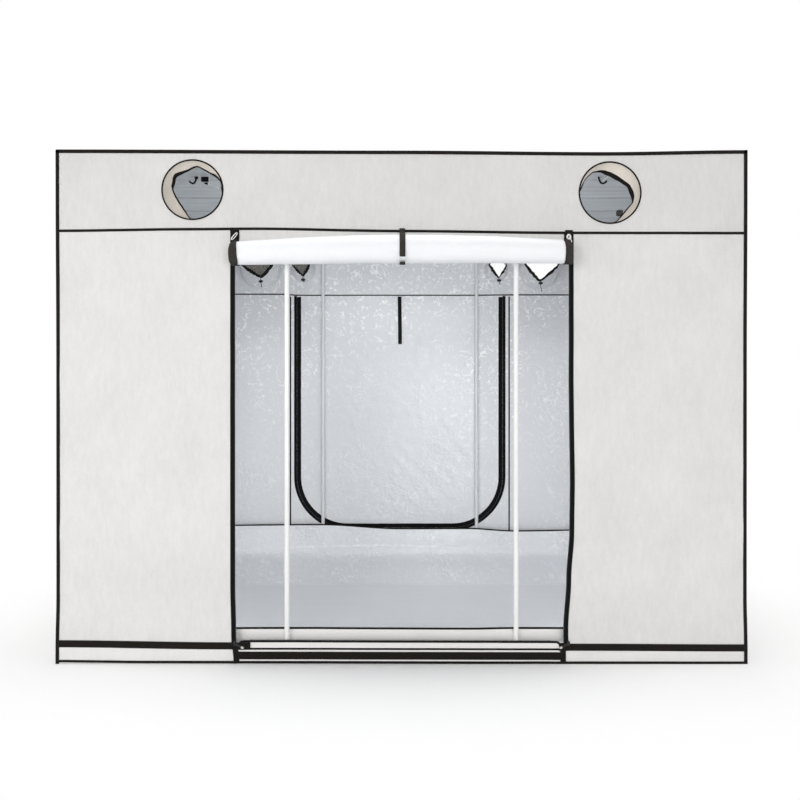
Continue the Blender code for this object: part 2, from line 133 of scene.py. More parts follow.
# How the walls hang: (place, amount) stops in metres
TOP_SAG = ((-1.5, 0.002), (0.0, -0.003), (0.87, -0.0095), (1.5, -0.001))
SEAM_SAG = ((-1.5, 0.001), (-0.9, 0.008), (-0.637, 0.01), (0.0, 0.0), (0.74, -0.008), (1.5, -0.009))
EDGE_PULL = ((0.0, 0.0), (0.06, 0.0), (0.3, 0.0041), (1.3, 0.0036), (2.1, 0.0004), (2.23, 0.0))
LEFT_DOOR_SHIFT = ((0.0, 0.012), (0.07, 0.0075), (0.15, 0.006), (0.35, 0.002), (1.88, 0.002))
RIGHT_DOOR_SHIFT = (
    (0.0, -0.02), (0.15, -0.022), (0.365, -0.009), (0.58, 0.004), (0.8, 0.006), (1.25, 0.0011), (1.88, 0.0012),
)
HEM_BAND = ((-1.5, 0.088), (-0.74, 0.079), (0.72, 0.073), (1.5, 0.07))

# Bindings, tapes and webbing
BINDING_WIDTH = 0.0135
BINDING_THICK = 0.0026
SEAM_WIDTH = 0.0115
HEM_WIDTH = 0.031
HEM_THICK = 0.0022
FOOT_TAPE_Z, FOOT_TAPE_WIDTH = 0.0072, 0.0128
ZIP_TAPE = 0.0215
WEBBING_THICK = 0.0016
STITCH_INSET = 0.0028
# How far the middle of a tape stands out from the middle of the cloth below it
TAPE_LIFT = 0.0014
# How a tape is sewn on: with a row of stitches along each edge, with none to be seen, or closed to a ring
SEWN, PLAIN, CLOSED = "sewn", "plain", "closed"


def eased(value, stops):
    """The amount at value, eased between (place, amount) stops."""
    for (a, low), (b, high) in zip(stops, stops[1:]):
        if value <= b:
            share = min(max((value - a) / (b - a), 0.0), 1.0)
            return low + (high - low) * share * share * (3 - 2 * share)
    return stops[-1][1]


def eased_step(value, low, high):
    share = min(max((value - low) / (high - low), 0.0), 1.0)
    return share * share * (3 - 2 * share)


def ridge(distance, width):
    return math.exp(-((distance / width) ** 2))


def lumps(x, y, size, seed=0.0):
    """Smooth unevenness from -1 to 1, with humps about size across."""
    return noise.noise(Vector((x / size, y / size, seed)))


# ---- finishes


def new_node(tree, kind, inputs=None, **settings):
    """A node with these settings. Each of its inputs is a number or a socket to link."""
    made = tree.nodes.new(kind)
    for key, value in settings.items():
        setattr(made, key, value)
    for socket, value in (inputs or {}).items():
        if isinstance(value, bpy.types.NodeSocket):
            tree.links.new(value, made.inputs[socket])
        else:
            made.inputs[socket].default_value = value
    return made


def new_finish(name, colour, roughness, **sockets):
    """A finish, its node tree and its shader, with what is the same all over set on the shader."""
    made = bpy.data.materials.new(name)
    made.use_nodes = True
    shader = made.node_tree.nodes["Principled BSDF"]
    shader.inputs["Base Color"].default_value = (*colour, 1.0)
    shader.inputs["Roughness"].default_value = roughness
    for socket, value in sockets.items():
        shader.inputs[socket.replace("_", " ")].default_value = value
    return made, made.node_tree, shader


def object_place(tree):
    return new_node(tree, "ShaderNodeTexCoord").outputs["Object"]


def flat_place(tree):
    return new_node(tree, "ShaderNodeUVMap", uv_map="flat").outputs["UV"]


def parts_of(tree, vector):
    return new_node(tree, "ShaderNodeSeparateXYZ", {"Vector": vector}).outputs


def mottled(tree, place, scale, detail=2.0, roughness=0.5, output="Fac"):
    """Soft lumps of noise, from 0 to 1."""
    inputs = {"Vector": place, "Scale": scale, "Detail": detail, "Roughness": roughness}
    return new_node(tree, "ShaderNodeTexNoise", inputs).outputs[output]


def cells(tree, place, scale, feature="F1"):
    inputs = {"Vector": place, "Scale": scale}
    return new_node(tree, "ShaderNodeTexVoronoi", inputs, feature=feature).outputs["Distance"]


def spread(tree, value, low, high, start=0.0, end=1.0):
    """Stretches low to high into start to end, and holds the value there beyond them."""
    inputs = {"Value": value, "From Min": low, "From Max": high, "To Min": start, "To Max": end}
    return new_node(tree, "ShaderNodeMapRange", inputs).outputs["Result"]


def maths(tree, operation, first, second=0.0):
    return new_node(tree, "ShaderNodeMath", {0: first, 1: second}, operation=operation).outputs[0]


def product(tree, first, *others):
    for other in others:
        first = maths(tree, "MULTIPLY", first, other)
    return first


def distance_from(tree, value, middle):
    return maths(tree, "ABSOLUTE", maths(tree, "SUBTRACT", value, middle))


def vectors(tree, operation, first, second):
    return new_node(tree, "ShaderNodeVectorMath", {0: first, 1: second}, operation=operation).outputs[0]


def mixed_colour(tree, amount, first, second):
    """Amount of the second colour in the first. Each is a socket or three numbers."""
    inputs = {"Factor": amount}
    for socket, colour in ((6, first), (7, second)):
        inputs[socket] = colour if isinstance(colour, bpy.types.NodeSocket) else (*colour, 1.0)
    return new_node(tree, "ShaderNodeMix", inputs, data_type="RGBA").outputs[2]


def bump(tree, shader, height, distance, strength=1.0, below=None):
    inputs = {"Height": height, "Distance": distance, "Strength": strength}
    if below:
        inputs["Normal"] = below
    made = new_node(tree, "ShaderNodeBump", inputs).outputs["Normal"]
    tree.links.new(made, shader.inputs["Normal"])
    return made


def bands(tree, flat, width, direction, distortion, detail=2.0):
    """Even bands, each this wide, across the cloth's flat cut."""
    inputs = {"Vector": flat, "Scale": 0.314 / width, "Distortion": distortion, "Detail": detail}
    return new_node(tree, "ShaderNodeTexWave", inputs, bands_direction=direction).outputs["Fac"]


def cloth_finish(name, colour, shade, roughness):
    """Coated woven cloth: threads, soft creases, and a tone that is uneven in lumps, slanted strokes and grain."""
    made, tree, shader = new_finish(name, colour, roughness, Specular_IOR_Level=0.3)
    flat, place = flat_place(tree), object_place(tree)
    inputs = {"Vector": place, "Rotation": (0.0, 0.62, 0.0), "Scale": (1.0, 1.0, 0.34)}
    slanted = new_node(tree, "ShaderNodeMapping", inputs).outputs["Vector"]
    grain = mottled(tree, place, 230.0)
    tone = spread(tree, mottled(tree, place, 4.0, 4.0), 0.3, 0.7, end=0.4)
    strokes = spread(tree, mottled(tree, slanted, 62.0, 4.0, 0.62), 0.3, 0.7, end=0.38)
    fine = spread(tree, grain, 0.3, 0.7, end=0.22)
    amount = maths(tree, "ADD", maths(tree, "ADD", tone, strokes), fine)
    tree.links.new(mixed_colour(tree, amount, colour, shade), shader.inputs["Base Color"])
    tree.links.new(spread(tree, grain, 0, 1, roughness - 0.08, roughness + 0.08), shader.inputs["Roughness"])
    soft = bump(tree, shader, mottled(tree, place, 11.0, 6.0, 0.6), 0.006, 0.35)
    threads = maths(tree, "MAXIMUM", *(bands(tree, flat, 2 * WOVEN_THREAD, way, 0.6, 1.0) for way in ("X", "Y")))
    bump(tree, shader, threads, 0.00012, 0.6, soft)
    return made


def crinkled_finish(name, colour, shade, roughness, metallic, crumple, fine, coat=0.0, painted_glint=0.0, glint_heights=None):
    """Foil or coated lining: facets that catch the light, and creases painted paler as painted highlights, denser
    between given heights.

    crumple and fine are the depths of the large and small facets. The last two arguments give how much paler the
    creases are painted, as painted highlights, and the heights between which these painted highlights grow denser.
    """
    made, tree, shader = new_finish(name, colour, roughness, Metallic=metallic, Coat_Weight=coat, Coat_Roughness=0.12)
    place = object_place(tree)
    pushed = vectors(tree, "MULTIPLY", mottled(tree, place, 7.0, 3.0, output="Color"), (0.14, 0.14, 0.14))
    moved = vectors(tree, "ADD", place, pushed)
    patchy = spread(tree, mottled(tree, place, 3.2), 0.38, 0.62, 0.25)
    base = mixed_colour(tree, mottled(tree, place, 2.5, 4.0), colour, shade)
    # Painted highlights: the creases are painted paler, as if the light glinted on them, and more of them between the
    # given heights.
    if painted_glint:
        line = spread(tree, cells(tree, moved, 34.0, "DISTANCE_TO_EDGE"), 0.0, 0.13, 1.0, 0.0)
        broken = spread(tree, mottled(tree, moved, 33.0, 1.0), 0.5, 0.62)
        amount = product(tree, line, broken, patchy)
        if glint_heights:
            denser = spread(tree, parts_of(tree, place)["Z"], *glint_heights, 0.5, 1.9)
            amount = maths(tree, "MINIMUM", product(tree, amount, denser), 1.0)
        base = mixed_colour(tree, amount, base, tuple(min(0.97, c + painted_glint) for c in colour))
    tree.links.new(base, shader.inputs["Base Color"])
    large = bump(tree, shader, product(tree, cells(tree, moved, 38.0), patchy), crumple)
    bump(tree, shader, cells(tree, moved, 90.0), fine, below=large)
    return made


def add_crease_highlight(made, middle, half, top, bend):
    """A painted highlight along a crease across the rear wall of the tray, highest in its middle and broken here and
    there.
    """
    tree = made.node_tree
    place = object_place(tree)
    parts = parts_of(tree, place)
    off = maths(tree, "SUBTRACT", parts["X"], middle)
    line = maths(tree, "SUBTRACT", top, product(tree, off, off, bend))
    wave = product(tree, maths(tree, "SUBTRACT", mottled(tree, place, 7.0, 3.0), 0.5), 0.03)
    amount = product(
        tree,
        spread(tree, distance_from(tree, parts["Z"], maths(tree, "ADD", line, wave)), 0.0, 0.0075, 1.0, 0.0),
        spread(tree, maths(tree, "ABSOLUTE", off), 0.6 * half, half, 1.0, 0.0),
        spread(tree, parts["Y"], 0.6, 0.62),
        spread(tree, mottled(tree, place, 24.0), 0.4, 0.6, 0.2),
    )
    socket = tree.nodes["Principled BSDF"].inputs["Base Color"]
    tree.links.new(mixed_colour(tree, amount, socket.links[0].from_socket, (0.97, 0.975, 0.98)), socket)


def ceiling_finish(name, colour, shade, folds):
    """Lining seen from below: long level streaks, and painted shade along the lines where it was folded in its
    package.
    """
    made, tree, shader = new_finish(name, colour, 0.42, Coat_Weight=0.15, Coat_Roughness=0.2)
    place = object_place(tree)
    drawn = new_node(tree, "ShaderNodeMapping", {"Vector": place, "Scale": (1.1, 13.0, 1.0)}).outputs["Vector"]
    streaks = mottled(tree, drawn, 2.6, 5.0, 0.6)
    base = mixed_colour(tree, spread(tree, streaks, 0.32, 0.68), colour, shade)
    across = parts_of(tree, place)["Y"]
    # Painted shade: the lining is darkened along each fold line.
    dark = 0.0
    for fold, strength in folds:
        gap = distance_from(tree, across, fold)
        dark = maths(tree, "MAXIMUM", spread(tree, gap, 0.0, 0.011, strength, 0.0), dark)
    amount = product(tree, dark, spread(tree, mottled(tree, place, 9.0), 0.3, 0.6, 0.45))
    fold_shaded = mixed_colour(tree, amount, base, tuple(0.42 * c for c in colour))
    tree.links.new(fold_shaded, shader.inputs["Base Color"])
    soft = bump(tree, shader, streaks, 0.008, 0.6)
    bump(tree, shader, mottled(tree, drawn, 16.0, 3.0), 0.002, 0.5, soft)
    return made


def tape_finish(name, colour, rib):
    """Woven tape: fine ribs across its length, paler where lint has caught on them."""
    made, tree, shader = new_finish(name, colour, 0.85, Specular_IOR_Level=0.12)
    flat = flat_place(tree)
    ribs = bands(tree, flat, rib, "X", 0.8)
    linty = tuple(2.4 * c + 0.004 for c in colour)
    amount = product(tree, ribs, mottled(tree, flat, 900.0))
    tree.links.new(mixed_colour(tree, amount, colour, linty), shader.inputs["Base Color"])
    bump(tree, shader, ribs, 0.0003, 0.8)
    return made


def hard_finish(name, colour, roughness, peel, metallic=0.0, coat=0.0):
    """Paint, moulded plastic or metal: slight unevenness of gloss and surface."""
    made, tree, shader = new_finish(name, colour, roughness, Metallic=metallic, Coat_Weight=coat, Coat_Roughness=0.1)
    place = object_place(tree)
    wear = mottled(tree, place, 22.0, 5.0)
    dull = tuple(0.93 * c for c in colour)
    tree.links.new(mixed_colour(tree, wear, colour, dull), shader.inputs["Base Color"])
    tree.links.new(spread(tree, wear, 0, 1, roughness - 0.07, roughness + 0.1), shader.inputs["Roughness"])
    bump(tree, shader, mottled(tree, place, 450.0), peel, 0.5)
    return made


WOVEN_THREAD = 0.0011
WEBBING_RIB = 0.0017
# Where the roof lies folded, and how strong the painted shade along each fold line is. The strong ones stand out as
# creases too.
FOLD_LINES = ((-0.407, 0.6), (-0.304, 0.35), (-0.256, 0.4), (-0.208, 0.35), (-0.154, 1.0), (0.066, 0.95), (0.3, 0.6))
ROOF_FOLDS = [at for at, strength in FOLD_LINES if strength > 0.5]

COVER = cloth_finish("cover_white_weave", (0.82, 0.811, 0.80), (0.70, 0.691, 0.678), 0.82)
# The header is the same white cloth as the panels, made darker where it gets less light: painted shade.
HEADER_SHADED_COVER = cloth_finish("header_weave_painted_shade", (0.775, 0.766, 0.75), (0.66, 0.651, 0.636), 0.82)
# Paler than the cover cloth, so that the tray's shaded outer face behind the sill reads light: painted light.
TRAY_OUTSIDE_LIT = cloth_finish("tray_outside_weave", (0.985, 0.972, 0.955), (0.95, 0.935, 0.915), 0.8)
# A paler copy of the cover cloth for the sill, which gets less light near the ground: painted light.
SILL_LIT_COVER = cloth_finish("sill_weave_painted_light", (0.95, 0.94, 0.925), (0.88, 0.868, 0.85), 0.78)
SLEEVE = cloth_finish("sleeve_beige_weave", (0.81, 0.75, 0.675), (0.725, 0.665, 0.595), 0.86)
# A darker copy of the rear wall's foil lining, for the inside of the walls and header, which get less light: painted
# shade. Its creases are painted paler too, as painted highlights.
LINING = crinkled_finish(
    "lining_silver_foil", (0.50, 0.522, 0.545), (0.45, 0.472, 0.495), 0.34, 0.0, 0.004, 0.0008, 0.2, 0.1
)
# The roof's inside is a darker copy of the foil lining, where less light reaches: painted shade.
ROOF_SHADED_LINING = ceiling_finish("roof_lining_painted_shade", (0.60, 0.63, 0.655), (0.51, 0.535, 0.56), FOLD_LINES)
# The rear lining's creases carry painted highlights, denser from 0.9 m to 1.75 m high, where the lamps' reflection
# falls.
REAR_LINING = crinkled_finish(
    "rear_lining_foil", (0.748, 0.765, 0.785), (0.712, 0.728, 0.749), 0.36, 0.06, 0.0024, 0.0005, 0.4, 0.26,
    glint_heights=(0.9, 1.75),
)
DOOR_LINING = crinkled_finish("door_lining_white", (0.91, 0.92, 0.94), (0.87, 0.885, 0.91), 0.42, 0.0, 0.0012, 0.0003)
# A paler copy of the cover cloth for the strip below the hem band, which gets less light near the ground: painted
# light.
FOOT_LIT_COVER = cloth_finish("foot_strip_weave_painted_light", (0.89, 0.88, 0.866), (0.80, 0.79, 0.776), 0.82)
# The tray's creases are painted paler, as painted highlights.
TRAY_INSIDE = crinkled_finish(
    "tray_coated_grey", (0.815, 0.832, 0.858), (0.76, 0.776, 0.806), 0.3, 0.06, 0.005, 0.0013, 0.4, 0.14
)
# The tray's floor is a paler copy of its coating, where less light reaches: painted light.
TRAY_GROUND_LIT = crinkled_finish(
    "tray_floor_painted_light", (0.975, 0.985, 1.0), (0.94, 0.952, 0.975), 0.34, 0.0, 0.003, 0.0016, 0.3
)
add_crease_highlight(TRAY_INSIDE, middle=-0.16, half=0.68, top=0.258, bend=0.05)
BLACK_BINDING = tape_finish("binding_brown_black", (0.0095, 0.0078, 0.0066), 0.0011)
BLACK_WEBBING = tape_finish("webbing_black", (0.0075, 0.0066, 0.006), WEBBING_RIB)
STRAP_FACE = tape_finish("strap_webbing_brown", (0.030, 0.0275, 0.024), WEBBING_RIB)
BLACK_ZIP_TAPE = tape_finish("zip_tape_black", (0.0035, 0.0035, 0.004), 0.0009)
ZIP_TEETH = hard_finish("zip_teeth_nylon", (0.006, 0.006, 0.007), 0.45, 0.00005)
SLIDER_METAL = hard_finish("slider_black_enamel", (0.03, 0.03, 0.032), 0.3, 0.00006, 0.6)
# Pale finish for the pull's tip: a painted highlight where light glints on the black pull.
PULL_TIP_GLINT = hard_finish("pull_tip_painted_glint", (0.62, 0.60, 0.56), 0.5, 0.0001)
WHITE_PLASTIC = hard_finish("hook_white_plastic", (0.90, 0.90, 0.89), 0.3, 0.00005, 0.0, 0.2)
BLACK_PLASTIC = hard_finish("cord_lock_plastic", (0.006, 0.006, 0.007), 0.5, 0.00006)
POLE_PAINT = hard_finish("pole_white_powder_coat", (0.965, 0.965, 0.955), 0.3, 0.00012, 0.0, 0.25)
# The rear inner posts are the same white powder coat as the others, made grey where they stand in the tent's shade:
# painted shade.
REAR_POLE_SHADED_PAINT = hard_finish("rear_pole_grey_powder_coat", (0.79, 0.80, 0.81), 0.3, 0.00012, 0.0, 0.15)
JOINT_PAINT = hard_finish("connector_white_paint", (0.86, 0.865, 0.86), 0.36, 0.00016, 0.0, 0.15)
DARK_THREAD = hard_finish("thread_dark", (0.016, 0.014, 0.013), 0.75, 0.00005)
NET_STRAND = hard_finish("net_strand_brown", (0.10, 0.078, 0.055), 0.6, 0.00005)
DRAWCORD = hard_finish("drawcord_black", (0.02, 0.018, 0.017), 0.75, 0.0002)


# ---- making cloth and tapes


def new_object(name, data):
    obj = bpy.data.objects.new(name, data)
    bpy.context.scene.collection.objects.link(obj)
    return obj


def to_object(name, shape, materials, smooth=True, sharp_from=None):
    """An object of the shape. Edges that bend more than sharp_from degrees stay sharp."""
    mesh = bpy.data.meshes.new(name)
    shape.to_mesh(mesh)
    shape.free()
    for material in materials:
        mesh.materials.append(material)
    if smooth:
        mesh.shade_smooth()
    if sharp_from:
        mesh.set_sharp_from_angle(angle=math.radians(sharp_from))
    return new_object(name, mesh)


def settled(obj):
    """The object with its modifiers worked into its mesh."""
    bpy.context.view_layer.update()
    graph = bpy.context.evaluated_depsgraph_get()
    mesh = bpy.data.meshes.new_from_object(obj.evaluated_get(graph))
    mesh.name = obj.name
    obj.modifiers.clear()
    obj.data = mesh
    return obj


def spaced(loop, step):
    """A closed outline with points no further apart than step."""
    points = []
    for a, b in zip(loop, loop[1:] + loop[:1]):
        count = max(1, math.ceil(math.dist(a, b) / step - 0.01))
        points += [(a[0] + (b[0] - a[0]) * i / count, a[1] + (b[1] - a[1]) * i / count) for i in range(count)]
    return points


def within(points, loop):
    """Which points lie inside a closed outline."""
    inside = np.zeros(len(points), bool)
    x, y = points[:, 0], points[:, 1]
    for (ax, ay), (bx, by) in zip(loop, loop[1:] + loop[:1]):
        if ay != by:
            crosses = (ay > y) != (by > y)
            inside ^= crosses & (x < (bx - ax) * (y - ay) / (by - ay) + ax)
    return inside


def flat_area(outline, holes=()):
    def area(loop):
        return abs(sum(a[0] * b[1] - b[0] * a[1] for a, b in zip(loop, loop[1:] + loop[:1]))) / 2

    return area(outline) - sum(area(hole) for hole in holes)


def flat_map(shape):
    """The shape's UV map, which keeps each cloth's flat cut in metres."""
    return shape.loops.layers.uv.get("flat") or shape.loops.layers.uv.new("flat")


def cut_cloth(name, outline, lay, finishes, step, holes=()):
    """Cloth cut to a flat outline and laid in place by lay(u, v)."""
    loops = [spaced(list(loop), step) for loop in (outline, *holes)]

    def in_cloth(points):
        inside = within(points, loops[0])
        for hole in loops[1:]:
            inside &= ~within(points, hole)
        return inside

    border = [point for loop in loops for point in loop]
    edges, start = [], 0
    for loop in loops:
        edges += [(start + i, start + (i + 1) % len(loop)) for i in range(len(loop))]
        start += len(loop)
    corners = np.array(loops[0])
    low, high = corners.min(axis=0), corners.max(axis=0)
    counts = np.maximum(1, np.ceil((high - low) / step - 0.01)).astype(int)
    us, vs = (np.linspace(low[k], high[k], counts[k] + 1) for k in (0, 1))
    grid = np.array([(u, v) for v in vs for u in us])
    grid = grid[in_cloth(grid)]
    near = np.full(len(grid), np.inf)
    for point in np.array(border):
        near = np.minimum(near, np.hypot(*(grid - point).T))
    grid = grid[near > 0.45 * step]
    points = [Vector(p) for p in border] + [Vector(p) for p in grid.tolist()]
    coords, _, faces, *_ = delaunay_2d_cdt(points, edges, [], 0, 1e-7)
    flat = np.array([tuple(p) for p in coords])
    middles = np.array([flat[list(face)].mean(axis=0) for face in faces])
    shape = bmesh.new()
    uv = flat_map(shape)
    verts = [shape.verts.new(lay(u, v)) for u, v in flat.tolist()]
    for face, kept in zip(faces, in_cloth(middles)):
        if not kept:
            continue
        made = shape.faces.new([verts[i] for i in face])
        for loop, i in zip(made.loops, face):
            loop[uv].uv = flat[i]
    loose = [vert for vert in shape.verts if not vert.link_faces]
    bmesh.ops.delete(shape, geom=loose, context="VERTS")
    obj = to_object(name, shape, finishes)
    thicken(obj, CLOTH, len(finishes) > 1)
    return obj


def thicken(obj, thickness, two_faced=False):
    wall = obj.modifiers.new("thickness", "SOLIDIFY")
    wall.thickness = thickness
    wall.offset = 0.0
    wall.material_offset = 1 if two_faced else 0
    settled(obj)
    obj.data.set_sharp_from_angle(angle=math.radians(60))


def rectangle(left, right, low, high):
    return [(left, low), (right, low), (right, high), (left, high)]


def round_profile(radius, sides=8):
    turns = [FULL_TURN * i / sides for i in range(sides)]
    return [(radius * math.cos(turn), radius * math.sin(turn)) for turn in turns]


def circle(x, z, radius, count=56):
    return [(x + a, z + b) for a, b in round_profile(radius, count)]


def steps_between(start, end, step):
    count = max(1, round(abs(end - start) / step))
    return [start + (end - start) * i / count for i in range(count + 1)]


def sweep(shape, path, frames, profile, closed=False):
    """Skins a closed profile of (a, b) along a path. frames gives the profile's two directions at each point."""
    uv = flat_map(shape)
    rings, reach, run = [], [0.0], 0.0
    for i, (point, (way_a, way_b)) in enumerate(zip(path, frames)):
        rings.append([shape.verts.new(point + way_a * a + way_b * b) for a, b in profile])
        if i:
            run += (path[i] - path[i - 1]).length
            reach.append(run)
    around = [0.0]
    for a, b in zip(profile, profile[1:] + profile[:1]):
        around.append(around[-1] + math.dist(a, b))
    count = len(profile)
    pairs = list(zip(range(len(rings) - 1), range(1, len(rings))))
    if closed:
        pairs.append((len(rings) - 1, 0))
        reach.append(run + (path[0] - path[-1]).length)
    made = []
    for near, far in pairs:
        end = reach[-1] if far == 0 else reach[far]
        for i in range(count):
            j = (i + 1) % count
            face = shape.faces.new((rings[near][i], rings[near][j], rings[far][j], rings[far][i]))
            ends = ((reach[near], around[i]), (reach[near], around[i + 1]), (end, around[i + 1]), (end, around[i]))
            for loop, place in zip(face.loops, ends):
                loop[uv].uv = place
            made.append(face)
    if not closed:
        made += [shape.faces.new(rings[0][::-1]), shape.faces.new(rings[-1])]
    bmesh.ops.recalc_face_normals(shape, faces=made)


def headings(path, closed=False):
    """The way that the path runs at each of its points."""
    count = len(path)
    if closed:
        return [(path[(i + 1) % count] - path[i - 1]).normalized() for i in range(count)]
    return [(path[min(i + 1, count - 1)] - path[max(i - 1, 0)]).normalized() for i in range(count)]


def path_frames(path, facings, closed=False):
    """(across, facing) at each point of a tape, mitred where the path turns."""
    count = len(path)
    frames = []
    for i in range(count):
        facing = (facings[i] if isinstance(facings, list) else facings).normalized()
        ways = []
        for a, b in ((i - 1, i), (i, i + 1)):
            if closed or (a >= 0 and b < count):
                along = path[b % count] - path[a % count]
                ways.append(along.cross(facing).normalized())
        across = ways[0] if len(ways) == 1 else (ways[0] + ways[1]) / max(0.3, 1 + ways[0].dot(ways[1]))
        frames.append((across, facing))
    return frames


def tape_profile(width, thickness):
    half, deep = width / 2, thickness / 2
    soft = min(deep, half)
    upper = [(half, deep * 0.3), (half - soft, deep), (soft - half, deep), (-half, deep * 0.3)]
    return upper + [(a, -b) for a, b in reversed(upper)]


def add_tape(shape, path, facings, width, thickness, closed=False):
    """Adds a flat tape along a path. Its face looks along facings."""
    sweep(shape, path, path_frames(path, facings, closed), tape_profile(width, thickness), closed)


def add_corner_binding(shape, path, side_a, side_b):
    """Adds a binding folded over an edge where two cloth faces meet, facing side_a and side_b."""
    deep, wide, fold, inner = BINDING_THICK / 2 + CLOTH, BINDING_WIDTH, 0.0012, 0.0002
    profile = [
        (deep * 0.6, deep),
        (deep, deep * 0.6),
        (deep, fold - wide),
        (deep * 0.5, -wide),
        (inner, fold - wide),
        (inner, inner),
        (fold - wide, inner),
        (-wide, deep * 0.5),
        (fold - wide, deep),
    ]
    sweep(shape, path, [(side_a, side_b)] * len(path), profile)


SEAMS = {}


def stitched(body, line):
    """Keeps a line of stitches on a body, to be sewn once all the pieces are made."""
    SEAMS.setdefault(body, []).append(line)


def stitch_tape(body, path, facings, width, thickness):
    """A row of stitches along each edge of a tape."""
    frames = path_frames(path, facings)
    for off in (width / 2 - STITCH_INSET, STITCH_INSET - width / 2):
        line = [point + across * off + facing * (thickness / 2) for point, (across, facing) in zip(path, frames)]
        stitched(body, line)


# ---- repeats, by geometry nodes


def repeat_tree(name, sizes, build):
    """A tree that puts repeats along the edges of a mesh. build(tree, sockets of the sizes, curve) makes them."""
    tree = bpy.data.node_groups.new(name, "GeometryNodeTree")
    tree.interface.new_socket("Geometry", in_out="INPUT", socket_type="NodeSocketGeometry")
    for size, value in sizes.items():
        socket = tree.interface.new_socket(size, in_out="INPUT", socket_type="NodeSocketFloat")
        socket.default_value = value
    tree.interface.new_socket("Material", in_out="INPUT", socket_type="NodeSocketMaterial")
    tree.interface.new_socket("Geometry", in_out="OUTPUT", socket_type="NodeSocketGeometry")
    ins, outs = new_node(tree, "NodeGroupInput").outputs, new_node(tree, "NodeGroupOutput").inputs
    curve = new_node(tree, "GeometryNodeMeshToCurve", {"Mesh": ins["Geometry"]}).outputs["Curve"]
    real = new_node(tree, "GeometryNodeRealizeInstances", {"Geometry": build(tree, ins, curve)}).outputs["Geometry"]
    done = new_node(tree, "GeometryNodeSetMaterial", {"Geometry": real, "Material": ins["Material"]})
    tree.links.new(done.outputs["Geometry"], outs["Geometry"])
    return tree


def set_along(tree, curve, pitch, piece, **axes):
    """Sets a piece along the curve at an even pitch, turned the way the curve runs."""
    points = new_node(tree, "GeometryNodeCurveToPoints", {"Curve": curve, "Length": pitch}, mode="LENGTH").outputs
    turn = new_node(tree, "FunctionNodeAlignRotationToVector", {"Vector": points["Tangent"]}, **axes)
    inputs = {"Points": points["Points"], "Instance": piece, "Rotation": turn.outputs["Rotation"]}
    return new_node(tree, "GeometryNodeInstanceOnPoints", inputs).outputs["Instances"]


def end_to_end_stitches(tree, sizes, curve):
    """Stitches: short threads laid end to end along each line."""
    inputs = {"Vertices": 4, "Radius": sizes["Thread Radius"], "Depth": sizes["Stitch Length"]}
    stitch = new_node(tree, "GeometryNodeMeshCylinder", inputs).outputs["Mesh"]
    return set_along(tree, curve, sizes["Pitch"], stitch, axis="Z")


def blocks_across(tree, sizes, curve):
    """Zip teeth: small blocks set across a line that lies in an upright plane."""
    inputs = {"X": sizes["Tooth Length"], "Y": sizes["Tooth Depth"], "Z": sizes["Tooth Width"]}
    size = new_node(tree, "ShaderNodeCombineXYZ", inputs).outputs["Vector"]
    tooth = new_node(tree, "GeometryNodeMeshCube", {"Size": size}).outputs["Mesh"]
    return set_along(tree, curve, sizes["Pitch"], tooth, axis="X", pivot_axis="Y")


def round_strands(tree, sizes, curve):
    """A net: a strand along every line."""
    ring = new_node(tree, "GeometryNodeCurvePrimitiveCircle", {"Resolution": 4, "Radius": sizes["Strand Radius"]})
    inputs = {"Curve": curve, "Profile Curve": ring.outputs["Curve"], "Fill Caps": True}
    return new_node(tree, "GeometryNodeCurveToMesh", inputs).outputs["Mesh"]


STITCHES = repeat_tree(
    "stitches", {"Pitch": 0.006, "Stitch Length": 0.0044, "Thread Radius": 0.00045}, end_to_end_stitches
)
TEETH = repeat_tree(
    "zip_teeth", {"Pitch": 0.003, "Tooth Width": 0.0036, "Tooth Length": 0.0016, "Tooth Depth": 0.0022}, blocks_across
)
NET = repeat_tree("net", {"Strand Radius": 0.00115}, round_strands)


def repeated(name, tree, lines, material, **sizes):
    """The repeats of a tree along these lines, as a plain mesh."""
    mesh = bpy.data.meshes.new(name)
    verts, edges = [], []
    for line in lines:
        edges += [(len(verts) + i, len(verts) + i + 1) for i in range(len(line) - 1)]
        verts += [tuple(point) for point in line]
    mesh.from_pydata(verts, edges, [])
    obj = new_object(name, mesh)
    step = obj.modifiers.new("repeats", "NODES")
    step.node_group = tree
    sockets = {item.name: item.identifier for item in tree.interface.items_tree if item.in_out == "INPUT"}
    for key, value in sizes.items():
        step[sockets[key.replace("_", " ")]] = value
    step[sockets["Material"]] = material
    settled(obj)
    if not obj.data.materials:
        obj.data.materials.append(material)
    return obj


def ridden(obj, body, slot, *nodes):
    """The piece moves with a body and stands for CAD nodes."""
    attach(obj, body)
    if nodes:
        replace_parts(obj, *nodes)
    return obj


# ---- camera, lights and floor

WHITE = (1, 1, 1, 1)


def make_camera():
    """The photo's view: level and straight on, a little left of the middle, with the horizon below its middle."""
    camera = bpy.data.cameras.new("camera")
    camera.lens = 30.68
    camera.sensor_width = 36.0
    camera.shift_x, camera.shift_y = 0.0046, 0.03
    camera.clip_start = 0.05
    viewer = new_object("camera", camera)
    viewer.location = (-0.0227, -3.71, 1.042)
    viewer.rotation_euler = (math.pi / 2, 0.0, 0.0)
    bpy.context.scene.camera = viewer
    bpy.context.scene.view_settings.view_transform = "Standard"


def area_lamp(name, place, aim, size, power, height=None):
    """A round lamp of this size, or with a height a rectangular one. Size and place are in metres, power in watts."""
    lamp = bpy.data.lights.new(name, "AREA")
    lamp.shape = "RECTANGLE" if height else "DISK"
    lamp.size = size
    if height:
        lamp.size_y = height
    lamp.energy = power
    obj = new_object(name, lamp)
    obj.location = place
    obj.rotation_euler = (Vector(aim) - Vector(place)).to_track_quat("-Z", "Y").to_euler()
    return obj


